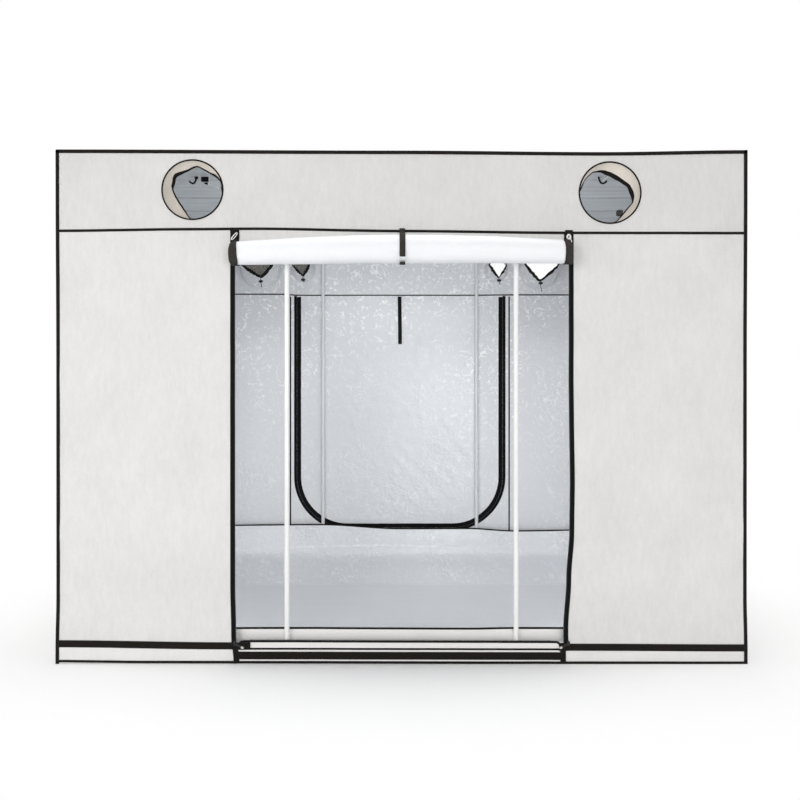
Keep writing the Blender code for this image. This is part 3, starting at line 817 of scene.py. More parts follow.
def make_lamps():
    area_lamp("front_key", (-3.6, -6.2, 2.3), (0, 0, 0.8), 3.0, 98)
    area_lamp("front_fill", (2.2, -8.5, 1.3), (0, 0, 0.6), 3.5, 117)
    area_lamp("overhead", (0, -0.1, 10.0), (0, 0, 0), 6.0, 460)
    area_lamp("left_side", (-8.5, -0.5, 2.6), (0, 0, 1.0), 3.5, 130)
    area_lamp("right_side", (8.5, 0.5, 2.6), (0, 0, 1.0), 3.5, 130)
    area_lamp("rear", (1.5, 8.5, 2.6), (0, 0, 1.0), 3.5, 170)
    # The cover lets no light through, so three more lamps stand inside, behind the panels and the header.
    for lamp in (
        area_lamp("inside_left", (-1.13, -0.69, 0.95), (-1.0, 0.75, 0.95), 0.6, 5.4, 1.7),
        area_lamp("inside_right", (1.13, -0.69, 0.95), (1.0, 0.75, 0.95), 0.6, 5.4, 1.7),
        area_lamp("inside_head", (0, -0.66, 2.0), (0, 0.75, 1.85), 1.3, 3.4, 0.25),
    ):
        lamp.visible_camera = False


def seen_directly(tree):
    """1 for rays from the camera, from gloss and through glass."""
    rays = new_node(tree, "ShaderNodeLightPath").outputs
    first = maths(tree, "MAXIMUM", rays["Is Camera Ray"], rays["Is Glossy Ray"])
    return maths(tree, "MAXIMUM", first, rays["Is Transmission Ray"])


def shade_between(tree, output, amount, first, second):
    """Ends a tree with two shaders, the second by this amount."""
    both = new_node(tree, "ShaderNodeMixShader", {0: amount, 1: first.outputs[0], 2: second.outputs[0]})
    new_node(tree, output, {"Surface": both.outputs[0]})


def make_world():
    """An even white surround, seen as pure white and dimmer in the light that it gives."""
    world = bpy.data.worlds.new("studio")
    bpy.context.scene.world = world
    world.use_nodes = True
    tree = world.node_tree
    tree.nodes.clear()
    soft, white = (
        new_node(tree, "ShaderNodeBackground", {"Color": WHITE, "Strength": strength}) for strength in (0.42, 1.0)
    )
    shade_between(tree, "ShaderNodeOutputWorld", seen_directly(tree), soft, white)


def make_floor():
    """A matt floor that takes the tent's shadow and fades into the white surround."""
    shape = bmesh.new()
    bmesh.ops.create_grid(shape, x_segments=2, y_segments=2, size=60.0, matrix=Matrix.Translation((0, 0, -0.0005)))
    material = bpy.data.materials.new("studio_floor")
    material.use_nodes = True
    tree = material.node_tree
    tree.nodes.clear()
    oval = vectors(tree, "MULTIPLY", object_place(tree), (0.55, 0.85, 1.0))
    reach = new_node(tree, "ShaderNodeVectorMath", {0: oval}, operation="LENGTH").outputs["Value"]
    matt = new_node(tree, "ShaderNodeBsdfDiffuse", {"Color": (0.96, 0.96, 0.96, 1)})
    white = new_node(tree, "ShaderNodeEmission", {"Color": WHITE, "Strength": 1.0})
    amount = product(tree, spread(tree, reach, 0.62, 1.5), seen_directly(tree))
    shade_between(tree, "ShaderNodeOutputMaterial", amount, matt, white)
    to_object("studio_floor", shape, [material], smooth=False)


make_camera()
make_lamps()
make_world()
make_floor()


# ---- cloth in even grids


def add_grid(shape, us, vs, lay, flat=None):
    """Adds cloth in rows and columns to shape, laid in place by lay(u, v)."""
    uv = shape.loops.layers.uv.get("flat") or shape.loops.layers.uv.new("flat")
    rows = [[shape.verts.new(lay(u, v)) for u in us] for v in vs]
    for j in range(len(vs) - 1):
        for i in range(len(us) - 1):
            ends = ((i, j), (i + 1, j), (i + 1, j + 1), (i, j + 1))
            face = shape.faces.new([rows[b][a] for a, b in ends])
            for loop, (a, b) in zip(face.loops, ends):
                loop[uv].uv = flat(us[a], vs[b]) if flat else (us[a], vs[b])


def grid_cloth(name, us, vs, lay, finishes, flat=None, thickness=CLOTH, joined=False):
    shape = bmesh.new()
    add_grid(shape, us, vs, lay, flat)
    if joined:
        bmesh.ops.remove_doubles(shape, verts=shape.verts, dist=0.0001)
    obj = to_object(name, shape, finishes)
    thicken(obj, thickness, len(finishes) > 1)
    return obj


def tapes(name, finish, runs, body="root"):
    """One piece of several tapes. Each run is (path, facings, width, thickness, how it is sewn)."""
    shape = bmesh.new()
    for path, facings, width, thickness, kind in runs:
        add_tape(shape, path, facings, width, thickness, kind == CLOSED)
        if kind == SEWN:
            stitch_tape(body, path, facings, width, thickness)
    return ridden(to_object(name, shape, [finish], sharp_from=50), body, "webbing")


def webbing(name, shape, *finishes, body="root"):
    return ridden(to_object(name, shape, finishes), body, "webbing")


def hard_piece(name, shape, material, body="root", slot="webbing"):
    return ridden(to_object(name, shape, [material], sharp_from=42), body, slot)


def as_sheet(cloth, slot, node, flat, rests_on, held="hung", body="root", **known):
    """The cloth moves with its body and stands for its CAD node."""
    ridden(cloth, body, slot, node)


def level_line(left, right, z, step=0.03):
    return [(x, z) for x in steps_between(left, right, step)]


def upright_line(x, start, end, step=0.03):
    return [(x, z) for z in steps_between(start, end, step)]


# ---- front wall

# Folds down the front panels: (where across them, width, height)
SLANT_FOLDS = (
    (-0.46, 0.035, 0.0022),
    (-0.33, 0.025, 0.0026),
    (-0.21, 0.03, 0.003),
    (-0.12, 0.018, 0.0024),
    (-0.02, 0.028, 0.0034),
    (0.07, 0.02, 0.0026),
    (0.15, 0.03, 0.0032),
    (0.27, 0.024, 0.0024),
    (0.40, 0.04, 0.0026),
)

FOLD_SLOPE = (0.921, 0.389)


def front_fold(x, z):
    """How far the front cloth stands out: long slanting folds in the panels, softer ones in the header."""
    out = 0.0014 * lumps(x, z, 0.4, 1.0) + 0.0006 * lumps(x, z, 0.11, 4.0)
    if z < SEAM and abs(x) > 0.7:
        across = FOLD_SLOPE[0] * (HALF_WIDTH - abs(x)) - FOLD_SLOPE[1] * z
        held = eased_step(z, 0.1, 0.45) * (1 - eased_step(z, 1.55, 1.86))
        held *= 1 - 0.35 * (1 + lumps(x + 3 * math.copysign(1, x), z, 0.6, 7.0))
        out += held * sum(height * ridge(across - at, width) for at, width, height in SLANT_FOLDS)
    return out


def on_front(x, z, out=0.0):
    """The front cloth at (x, z): it sags between the poles, pulls in at its sides and stands in soft folds."""
    if z >= SEAM:
        share = min(1.0, (z - SEAM) / (TOP - SEAM))
        drop = eased(x, SEAM_SAG) * (1 - share) + eased(x, TOP_SAG) * share
        shift = -0.004 * ridge(x - VENT_X, 0.2) * eased_step(z, SEAM, SEAM + 0.06)
    else:
        drop = eased(x, SEAM_SAG) * eased_step(z, 0.3, SEAM)
        near = 1 - eased_step(abs(abs(x) - 0.734), 0.0, 0.35)
        shift = eased(z, RIGHT_DOOR_SHIFT if x > 0 else LEFT_DOOR_SHIFT) * near
    pull = eased(z, EDGE_PULL) * eased_step(abs(x), 1.1, 1.5)
    return Vector((x - math.copysign(pull, x) + shift, FRONT_CLOTH - front_fold(x, z) - out, z + drop))


def front_line(points, out=TAPE_LIFT):
    """A line on the front wall, out from its cloth."""
    return [on_front(x, z, out) for x, z in points]


def vent_holes():
    """The round holes for the two large vents, alike in front and at the rear."""
    return [circle(x, VENT_Z, VENT_R) for x in (-VENT_X, VENT_X)]


def make_header(side, on_wall, finishes, slot, vents):
    """The upper part of a wall, stretched from its seam to the top rail, with holes for its vents."""
    outline = rectangle(-HALF_WIDTH, HALF_WIDTH, SEAM, TOP - EDGE_GAP)
    cloth = cut_cloth(f"{side}_header_cloth", outline, on_wall, finishes, 0.03, vents)
    size, area = (2 * HALF_WIDTH, TOP - SEAM), flat_area(outline, vents)
    as_sheet(cloth, slot, f"{side}_header", size, f"{side}_top_middle_rail", "stretched", area=area)


def make_front_wall():
    make_header("front", on_front, [HEADER_SHADED_COVER, LINING], "cover_cloth", vent_holes())
    zs = steps_between(GROUND_GAP, SEAM, 0.024)
    for side, x in SIDES:
        us = sorted(steps_between(x * DOOR_EDGE, x * HALF_WIDTH, 0.022))
        cloth = grid_cloth(f"front_{side}_panel_cloth", us, zs, on_front, [COVER, LINING])
        cloth.data.materials.append(FOOT_LIT_COVER)
        # Below the hem band the panel takes the paler copy of its cloth: painted light.
        for face in cloth.data.polygons:
            if face.material_index == 0 and face.center.z < eased(face.center.x, HEM_BAND):
                face.material_index = 2
        size = (HALF_WIDTH - DOOR_EDGE, SEAM)
        as_sheet(cloth, "cover_cloth", f"front_{side}_panel", size, "front_header_cloth")
    us = steps_between(0.0005 - DOOR_EDGE, DOOR_EDGE - 0.0005, 0.03)
    zs = steps_between(GROUND_GAP, 0.097, 0.012)
    cloth = grid_cloth("front_sill_cloth", us, zs, on_front, [SILL_LIT_COVER, LINING])
    as_sheet(cloth, "cover_cloth", "front_sill", (2 * DOOR_EDGE, 0.095), "floor_sheet_cloth", "stretched")


def make_front_bindings():
    seam = front_line(level_line(-HALF_WIDTH + 0.004, HALF_WIDTH - 0.004, SEAM + 0.0005, 0.02))
    runs = [(seam, FRONTWARD, SEAM_WIDTH, BINDING_THICK, SEWN)]
    for x, larger in ((-VENT_X, 0.0), (VENT_X, 0.0015)):
        rim = front_line(circle(x, VENT_Z, VENT_R + larger, 72))
        runs.append((rim, FRONTWARD, 0.0068, 0.0034, CLOSED))
    tapes("front_header_bindings", BLACK_BINDING, runs)
    runs = []
    for x in (-1, 1):
        us = steps_between(DOOR_EDGE + 0.004, HALF_WIDTH - 0.002, 0.02)[::x]
        hem = front_line([(x * u, eased(x * u, HEM_BAND)) for u in us])
        runs.append((hem, FRONTWARD, HEM_WIDTH, HEM_THICK, SEWN))
    rise = ((-1.5, 0.0125), (-1.1, 0.0088), (-0.7, 0.0082), (0.5, 0.006), (1.5, 0.0055))
    foot = [(x, eased(x, rise)) for x in steps_between(-HALF_WIDTH + 0.002, HALF_WIDTH - 0.002, 0.03)]
    runs.append((front_line(foot), FRONTWARD, 0.0108, 0.0036, PLAIN))
    tapes("front_hem_bands", BLACK_BINDING, runs)


def sill_line(left, right, low, slant=0.003):
    """A line along the sill, which falls a little to the right."""
    return [(x, low - slant * (x + 0.7) / 1.4) for x in steps_between(left, right, 0.03)]


def make_doorway_zips():
    runs, rows = [], []
    edge, zs = DOOR_EDGE, steps_between(SEAM + 0.004, 0.088, 0.02)
    for x in (-1, 1):
        tape = front_line([(x * (edge + ZIP_TAPE / 2), z) for z in zs], 0.0016)
        runs.append((tape, FRONTWARD, ZIP_TAPE, HEM_THICK, SEWN))
        rows.append(front_line([(x * (edge + 0.0018), z) for z in zs], 0.0022))
    left_turn = [(-edge + 0.009, 0.082), (-edge + 0.013, 0.091), (-edge + 0.023, 0.0975), (-edge + 0.038, 0.0995)]
    right_turn = [(edge - 0.03, 0.0952), (edge - 0.022, 0.0915), (edge - 0.017, 0.086), (edge - 0.0145, 0.078)]
    level = sill_line(-edge + 0.06, edge - 0.06, 0.0995, 0.004)
    runs.append((front_line(left_turn + level + right_turn, 0.0018), FRONTWARD, 0.0095, 0.003, SEWN))
    tapes("doorway_zip_tapes", BLACK_ZIP_TAPE, runs)
    rows.append(front_line([(x, z + 0.0052) for x, z in level], 0.0022))
    ridden(repeated("doorway_zip_teeth", TEETH, rows, ZIP_TEETH), "root", "zip_metal")
    hooks = front_line(sill_line(-edge + 0.03, edge - 0.004, 0.0666), 0.0016)
    loops = front_line(sill_line(-edge + 0.004, edge - 0.004, 0.0374), 0.0016)
    runs = [(hooks, FRONTWARD, 0.0082, 0.002, PLAIN), (loops, FRONTWARD, 0.0335, 0.0024, SEWN)]
    tapes("sill_hook_and_loop_bands", BLACK_BINDING, runs)
    runs = []
    for x, left, right, z, width in (
        (-0.7277, -0.742, -0.662, 0.079, 0.0325),
        (0.7211, 0.704, 0.7445, 0.0752, 0.0345),
    ):
        upright = front_line(upright_line(x, 0.066, 0.0035, 0.0125), 0.0034)
        runs.append((upright, FRONTWARD, 0.0245, 0.002, SEWN))
        runs.append((front_line(level_line(left, right, z, 0.02), 0.0046), FRONTWARD, width, 0.0014, SEWN))
    tapes("zip_foot_patches", BLACK_WEBBING, runs)


# ---- sides, roof and floor


def side_pull(z):
    """How far the walls' side edges are drawn in at a height."""
    return eased(z, EDGE_PULL)


def make_side_walls():
    for side, x in SIDES:

        def on_side(y, z):
            bulge = 0.004 * lumps(y * 1.3, z, 0.5, 3.0 + x) + 0.0012 * lumps(y, z, 0.13, 9.0)
            hangs = eased_step(z, 0.15, 0.6) * (1 - eased_step(z, 1.5, 1.85))
            for at in (-0.25, 0.1, 0.42):
                bulge += 0.0022 * ridge(y - at - 0.18 * (z - 1.1) * x, 0.03) * hangs
            held = 1 - max(ridge(abs(y) - HALF_DEPTH, 0.08), ridge(z - SEAM, 0.04))
            return Vector((x * (SIDE_CLOTH - side_pull(z) + bulge * held), y, z))

        ys = steps_between(FRONT + EDGE_GAP, REAR - EDGE_GAP, 0.028)
        zs = steps_between(GROUND_GAP, TOP - EDGE_GAP, 0.028)
        # The same rows make faces that look inwards on the left wall, so there the lining comes first.
        finishes = [LINING, COVER] if x < 0 else [COVER, LINING]
        cloth = grid_cloth(f"{side}_wall_cloth", ys, zs, on_side, finishes)
        as_sheet(cloth, "cover_cloth", f"{side}_wall", (REAR - FRONT, TOP), f"{side}_top_rail")
        out = SIDEWAYS * x
        runs = []
        for z, width, kind in (
            (SEAM, SEAM_WIDTH, SEWN),
            (0.088 if x < 0 else 0.07, HEM_WIDTH, SEWN),
            (FOOT_TAPE_Z, FOOT_TAPE_WIDTH, PLAIN),
        ):
            line = [on_side(y, z) + out * TAPE_LIFT for y in steps_between(FRONT, REAR, 0.025)]
            runs.append((line, out, width, BINDING_THICK, kind))
        tapes(f"{side}_wall_bindings", BLACK_BINDING, runs)


def roof_sag(x, y):
    """The roof rests on the rails and bars, sags a little between them, and keeps the creases it was folded on."""
    spans = [(-RAIL_X, -BAR_X), (-BAR_X, BAR_X), (BAR_X, RAIL_X)]
    across = sum(math.sin(math.pi * (x - a) / (b - a)) for a, b in spans if a < x < b)
    along = max(0.0, math.cos(math.pi * y / (2 * HALF_DEPTH)))
    sag = 0.007 * max(0.0, across) * along
    creases = sum(ridge(y - at, 0.006) for at in ROOF_FOLDS)
    creases = 0.0028 * creases * min(1.0, 3 * max(0.0, across))
    return sag + creases + 0.0015 * lumps(x, y, 0.2, 5.0) * along


def make_roof():
    def on_roof(x, y):
        # The bars' tees stand a little above the rails, so the cloth lies flat over them.
        over_tee = 1 - eased_step(abs(abs(x) - BAR_X), 0.06, 0.12)
        over_tee *= eased_step(y, FRONT + 0.003, FRONT + 0.0155) * (1 - eased_step(y, -0.66, -0.6))
        sag = roof_sag(x, y) - eased(x, TOP_SAG) * ridge(y - FRONT, 0.12)
        return Vector((x, y, TOP - CLOTH / 2 - 0.0004 - (1 - over_tee) * sag))

    xs = steps_between(-HALF_WIDTH + EDGE_GAP, HALF_WIDTH - EDGE_GAP, 0.03)
    ys = steps_between(FRONT + EDGE_GAP, REAR - EDGE_GAP, 0.02)
    # More rows along each crease, and where the cloth rises onto the bars' tees
    ys += [at + side for at in ROOF_FOLDS for side in (-0.006, 0.0, 0.006)] + [FRONT + 0.009, FRONT + 0.0163]
    roof = grid_cloth("roof_cloth", xs, sorted(ys), on_roof, [COVER, ROOF_SHADED_LINING])
    ridden(roof, "root", "lining_cloth", "roof")


def make_floor_sheet():
    def on_ground(x, y):
        return Vector((x - math.copysign(side_pull(0.0), x), y, 0.0006 + 0.0002 * lumps(x, y, 0.3, 2.0)))

    xs = steps_between(-1.4985, 1.4985, 0.1)
    ys = steps_between(FRONT + EDGE_GAP, REAR - EDGE_GAP, 0.1)
    floor = grid_cloth("floor_sheet_cloth", xs, ys, on_ground, [TRAY_INSIDE, COVER])
    as_sheet(floor, "cover_cloth", "floor_sheet", (2 * HALF_WIDTH, REAR - FRONT), "ground", "laid")


def make_edge_bindings():
    shape = bmesh.new()
    high = TOP - 0.0004
    top = [Vector((x, FRONT, high + eased(x, TOP_SAG))) for x in steps_between(-HALF_WIDTH, HALF_WIDTH, 0.03)]
    add_corner_binding(shape, top, FRONTWARD, UPWARD)
    add_corner_binding(shape, [Vector((x, REAR, high)) for x in (-HALF_WIDTH, 0, HALF_WIDTH)], REARWARD, UPWARD)
    corners = ((FRONT, FRONTWARD), (REAR, REARWARD))
    for x in (-1, 1):
        out = SIDEWAYS * x
        add_corner_binding(shape, [Vector((x * HALF_WIDTH, y, high)) for y in (FRONT, 0, REAR)], out, UPWARD)
        for y, facing in corners:
            line = [Vector((x * (HALF_WIDTH - side_pull(z)), y, z)) for z in steps_between(0.001, TOP, 0.04)]
            add_corner_binding(shape, line, out, facing)
    ridden(to_object("cover_edge_bindings", shape, [BLACK_BINDING], sharp_from=50), "root", "webbing")
    zs = steps_between(0.01, TOP - 0.02, 0.04)
    for y, facing in corners:
        for x in (-1, 1):
            out = y + 0.0022 * facing.y
            stitched("root", [Vector((x * (HALF_WIDTH - side_pull(z) - 0.011), out, z)) for z in zs])


# ---- rear wall


def rear_crumple(x, z):
    """Small creases of the foil lining, deeper on the door."""
    door = eased_step(0.69 - abs(x), 0.0, 0.05)
    return 0.0022 * lumps(x, z, 0.22, 11.0) + (0.0008 + 0.0012 * door) * lumps(x, z, 0.055, 13.0)


def on_rear(x, z, inward=0.0):
    pull = side_pull(z) * eased_step(abs(x), 1.1, 1.5)
    return Vector((x - math.copysign(pull, x), REAR_CLOTH - rear_crumple(x, z) - inward, z))


DOOR_HALF = 0.672
DOOR_FOOT = 0.365
DOOR_CORNER = 0.33
SURROUND_HALF = 0.715


def rear_door_line(out=0.0, head=SEAM):
    """The rear door's zip line, out by a distance: down its left side, round the corners and up again."""
    half, foot, turn_r = DOOR_HALF + out, DOOR_FOOT - out, DOOR_CORNER + out
    points = upright_line(-half, head, foot + turn_r)[:-1]
    for centre, start in ((turn_r - half, math.pi), (half - turn_r, 1.5 * math.pi)):
        for i in range(19):
            turn = start + math.pi / 2 * i / 18
            points.append((centre + turn_r * math.cos(turn), foot + turn_r + turn_r * math.sin(turn)))
        if start == math.pi:
            points += level_line(turn_r - half, half - turn_r, foot)[1:-1]
    return points + upright_line(half, foot + turn_r, head)[1:]


def make_rear_wall():
    finishes = [REAR_LINING, COVER]
    cable_vents = [circle(x, CABLE_VENT_Z, CABLE_VENT_R, 40) for x in (-CABLE_VENT_X, CABLE_VENT_X)]
    make_header("rear", on_rear, finishes, "lining_cloth", vent_holes() + cable_vents)
    size, zs = (HALF_WIDTH - SURROUND_HALF, SEAM), steps_between(GROUND_GAP, SEAM, 0.025)
    for side, x in SIDES:
        us = sorted(steps_between(x * SURROUND_HALF, x * (HALF_WIDTH - EDGE_GAP), 0.025))
        cloth = grid_cloth(f"rear_{side}_panel_cloth", us, zs, on_rear, finishes)
        as_sheet(cloth, "lining_cloth", f"rear_{side}_panel", size, "rear_header_cloth")
    half, low = SURROUND_HALF, GROUND_GAP
    outline = rear_door_line(0.003) + [(half, SEAM), (half, low), (-half, low), (-half, SEAM)]
    cloth = cut_cloth("rear_door_surround_cloth", outline, on_rear, finishes, 0.028)
    # The opening leaves a quarter of the sheet, and the area given has to be at least three tenths of it.
    area = max(flat_area(outline), 0.301 * 2 * half * SEAM)
    as_sheet(cloth, "lining_cloth", "rear_door_surround", (2 * half, SEAM), "rear_header_cloth", area=area)
    outline = rear_door_line(-0.003, SEAM - 0.001)
    cloth = cut_cloth("rear_door_cloth", outline, on_rear, finishes, 0.016)
    size, area = (2 * DOOR_HALF, SEAM - DOOR_FOOT), flat_area(outline)
    as_sheet(cloth, "lining_cloth", "rear_door", size, "rear_header_cloth", body="rear_door", area=area)


def rear_line(points, inward=0.0):
    """A line on the rear wall, inward from its cloth."""
    return [on_rear(x, z, inward) for x, z in points]


def make_rear_bindings():
    rise = ((-1.5, 0.0115), (-0.78, 0.0115), (-0.66, 0.0048), (0.45, 0.0048), (0.8, 0.0075), (1.5, 0.0065))
    seam = [(x, SEAM + eased(x, rise)) for x in steps_between(-HALF_WIDTH + 0.004, HALF_WIDTH - 0.004, 0.02)]
    runs = [(rear_line(seam), FRONTWARD, 0.0082, 0.0046, SEWN)]
    for middle, z, radius in ((VENT_X, VENT_Z, VENT_R), (CABLE_VENT_X, CABLE_VENT_Z, CABLE_VENT_R)):
        for x in (-middle, middle):
            rim = rear_line(circle(x, z, radius + 0.0005, 64), -0.0018)
            runs.append((rim, REARWARD, 0.0085, 0.0026, CLOSED))
    for z, width in ((0.075, HEM_WIDTH), (FOOT_TAPE_Z, FOOT_TAPE_WIDTH)):
        line = rear_line(level_line(-HALF_WIDTH + 0.002, HALF_WIDTH - 0.002, z), -0.0016)
        runs.append((line, REARWARD, width, HEM_THICK, PLAIN))
    tapes("rear_wall_bindings", BLACK_BINDING, runs)
    seams = [rear_line(upright_line(x, SEAM - 0.004, 0.01)) for x in (-SURROUND_HALF, SURROUND_HALF)]
    runs = [(seam, FRONTWARD, 0.0092, 0.0042, PLAIN) for seam in seams]
    tapes("rear_surround_bindings", BLACK_BINDING, runs)
    for name, body, head, middle, width, teeth_out in (
        ("rear_zip_outer", "root", SEAM, 0.0096, 0.0189, 0.0011),
        ("rear_zip_door", "rear_door", SEAM - 0.006, -0.0136, 0.0267, -0.0011),
    ):
        path = rear_line(rear_door_line(middle, head))
        tapes(f"{name}_tape", BLACK_ZIP_TAPE, [(path, FRONTWARD, width, 0.0034, SEWN)], body)
        row = rear_line(rear_door_line(teeth_out, head - 0.004))
        teeth = repeated(f"{name}_teeth", TEETH, [row], ZIP_TEETH, Tooth_Depth=0.0052, Tooth_Width=0.003)
        ridden(teeth, body, "zip_metal")


def make_rear_tie_strap():
    low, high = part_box("rear_tie_strap")
    y = (low.y + high.y) / 2 - 0.0016
    path = [Vector((0.0015 * math.sin(9 * z), y, z)) for z in steps_between(high.z - 0.004, low.z + 0.001, 0.012)]
    run = (path, FRONTWARD, 0.0245, WEBBING_THICK, SEWN)
    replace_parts(tapes("rear_tie_strap_webbing", BLACK_WEBBING, [run], "rear_tie_strap"), "rear_tie_strap")
    shape = bmesh.new()
    add_tape(shape, [p + FRONTWARD * 0.0017 for p in path[-5:]], FRONTWARD, 0.024, WEBBING_THICK)
    webbing("rear_tie_strap_hem", shape, BLACK_WEBBING, body="rear_tie_strap")


# ---- tubes, rings and plates


def add_tube(shape, path, radius, sides=8, across=SIDEWAYS):
    frames = []
    for along in headings(path):
        first = (across - along * across.dot(along)).normalized()
        frames.append((first, along.cross(first)))
    sweep(shape, path, frames, round_profile(radius, sides))


def add_ring(shape, centre, way_u, way_v, width, height, bar, squareness=3.0, sides=8):
    """A closed ring of round bar: an oval whose corners fill out as squareness grows. Sizes are outside ones."""
    half_u, half_v = width / 2 - bar, height / 2 - bar
    normal = way_u.cross(way_v).normalized()
    path = []
    for c, s in round_profile(1.0, 32):
        u = math.copysign(abs(c) ** (2 / squareness), c) * half_u
        v = math.copysign(abs(s) ** (2 / squareness), s) * half_v
        path.append(centre + way_u * u + way_v * v)
    frames = [(along.cross(normal), normal) for along in headings(path, closed=True)]
    sweep(shape, path, frames, round_profile(bar, sides), closed=True)


def add_plate(shape, outline, place, thickness, bevel=0.0004):
    """A flat plate: its outline of (a, b), set in space by place(a, b, depth) with depth from 0 to thickness."""
    middle = Vector((sum(a for a, _ in outline) / len(outline), sum(b for _, b in outline) / len(outline)))
    rings = []
    for depth, inset in ((0, bevel), (bevel, 0), (thickness - bevel, 0), (thickness, bevel)):
        ring = []
        for a, b in outline:
            point = Vector((a, b))
            away = (point - middle).normalized()
            ring.append(shape.verts.new(place(*(point - away * inset), depth)))
        rings.append(ring)
    made = []
    count = len(outline)
    for near, far in zip(rings, rings[1:]):
        for i in range(count):
            j = (i + 1) % count
            made.append(shape.faces.new((near[i], near[j], far[j], far[i])))
    made += [shape.faces.new(rings[0][::-1]), shape.faces.new(rings[-1])]
    bmesh.ops.recalc_face_normals(shape, faces=made)


def rounded_outline(width, height, corner, steps=5):
    points = []
    for x, y, start in ((1, 1, 0.0), (-1, 1, 0.5), (-1, -1, 1.0), (1, -1, 1.5)):
        middle_x, middle_y = x * (width / 2 - corner), y * (height / 2 - corner)
        for i in range(steps + 1):
            turn = math.pi * (start + 0.5 * i / steps)
            points.append((middle_x + corner * math.cos(turn), middle_y + corner * math.sin(turn)))
    return points


# ---- rolled front door


def roll_radius(x):
    return ROLL_END_R + (ROLL_MIDDLE_R - ROLL_END_R) * (1 - (x / ROLL_HALF) ** 2)


def roll_axis(x):
    radius = roll_radius(x)
    tilt = eased(x, ((-0.705, -0.0035), (0.0, 0.0), (0.705, 0.0025)))
    return Vector((x, FRONT + 0.0015 - radius, ROLL_BOTTOM + radius + tilt))


def roll_point(x, length, lift=0.0):
    """The rolled door at a length from where it leaves the drop: it winds down, forward and up round its axis."""
    outer = roll_radius(x)
    whole = 2 * DOOR_LENGTH / (outer + ROLL_CORE_R)
    slack = 2 * (outer - ROLL_CORE_R) * length / whole
    turn = (outer - math.sqrt(max(outer**2 - slack, ROLL_CORE_R**2))) * whole / (outer - ROLL_CORE_R)
    reach = outer - (outer - ROLL_CORE_R) * turn / whole - 0.0004 + lift
    c, s = math.cos(turn), math.sin(turn)
    free = eased_step(turn, 0.3, 1.2)
    reach += free * 0.0011 * noise.noise(Vector((x / 0.16, 1.3 * c, 1.3 * s)))
    for at, width, height in ((2.55, 0.05, 0.0012), (3.5, 0.09, -0.001), (4.15, 0.05, 0.0011), (4.5, 0.12, -0.0008)):
        around = (turn + 0.35 * x - at + math.pi) % FULL_TURN - math.pi
        reach += free * height * ridge(around, width) * (0.6 + 0.4 * lumps(x, at, 0.3, 6.0))
    axis = roll_axis(x)
    return Vector((x, axis.y + reach * c, axis.z - reach * s))


def make_rolled_door():
    xs = steps_between(-ROLL_HALF, ROLL_HALF, 0.03)
    lengths = steps_between(0.0, DOOR_LENGTH, 0.0085)
    # Its outer face on the roll is the face that lies inside the tent when the door is shut.
    roll = grid_cloth("front_door_roll_cloth", xs, lengths, roll_point, [DOOR_LINING])
    size = (2 * ROLL_HALF, DOOR_LENGTH)
    as_sheet(roll, "lining_cloth", "door_roll", size, "centre_strap_front", "folded", body="front_door_roll")
    shape = bmesh.new()
    for x in (-1, 1):
        edge = x * (ROLL_HALF - 0.006)
        path = [roll_point(edge, length, -0.0009) for length in lengths[12:]]
        facings = [(point - roll_axis(edge)).normalized() for point in path]
        add_tape(shape, path, facings, 0.011, 0.0008)
    webbing("front_door_edge_tapes", shape, BLACK_ZIP_TAPE, body="front_door_roll")

    def on_drop(x, v):
        low = roll_axis(x).z
        high = SEAM + eased(x, SEAM_SAG) - 0.0006
        swell = 0.0007 * lumps(x, v, 0.09, 8.0) * (1 - v) * v * 4
        y = FRONT_CLOTH + (FRONT + 0.0011 - FRONT_CLOTH) * eased_step(1 - v, 0.6, 1.0) - swell
        return Vector((x, y, low + (high - low) * v))

    # The drop hangs from the seam to the roll. It would grow longer as the roll comes down, but here it stays as
    # built.
    drop = grid_cloth("front_door_drop_cloth", xs, steps_between(0, 1, 0.1), on_drop, [COVER, DOOR_LINING])
    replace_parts(drop, "door_drop")
    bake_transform(drop)


# ---- straps that hold the roll

# Where the straps hang before the header and behind it, how far they clear the roll, and the end straps' x
STRAP_HANGS = FRONT - 0.0026
STRAP_INSIDE = FRONT + 0.0027
STRAP_LIFT = 0.0022
END_STRAP_X = 0.7045


def around_roll(x, turn, lift):
    """Round the roll at x, lift clear of its cloth. turn 0 is behind, a quarter is on top and a half in front."""
    axis = roll_axis(x)
    reach = roll_radius(x) + lift
    return Vector((x, axis.y + reach * math.cos(turn), axis.z + reach * math.sin(turn)))


def strap_leaves(x):
    """The turn at which a strap that hangs from the header first touches the roll."""
    axis = roll_axis(x)
    away = Vector((STRAP_HANGS - axis.y, SEAM - 0.006 - axis.z))
    return math.atan2(away.y, away.x) + math.acos((roll_radius(x) + STRAP_LIFT) / away.length)


def squash_with_roll(*objs):
    """A strap is undone before the door comes down. Here each piece only gets its own copy of its mesh."""
    for obj in objs:
        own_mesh(obj)


def add_strap(shape, path, widths, selvedge=0.0):
    """Adds a strap of one width, or of a width for each point. Its woven edges take the second finish."""
    widths = widths if isinstance(widths, list) else [widths] * len(path)
    whole = max(widths)
    frames = path_frames(path, [along.cross(SIDEWAYS).normalized() * -1 for along in headings(path)])
    sized = [(across * width / whole, facing) for width, (across, facing) in zip(widths, frames)]
    sweep(shape, path, sized, tape_profile(whole, WEBBING_THICK))
    if selvedge:
        woven = set(shape.faces)
        for side in (-0.5, 0.5):
            line = [
                point + across * (side * (width - 0.8 * selvedge)) + facing * 0.0003
                for point, width, (across, facing) in zip(path, widths, frames)
            ]
            sweep(shape, line, frames, tape_profile(selvedge, WEBBING_THICK + 0.0005))
        for face in shape.faces:
            if face not in woven:
                face.material_index = 1


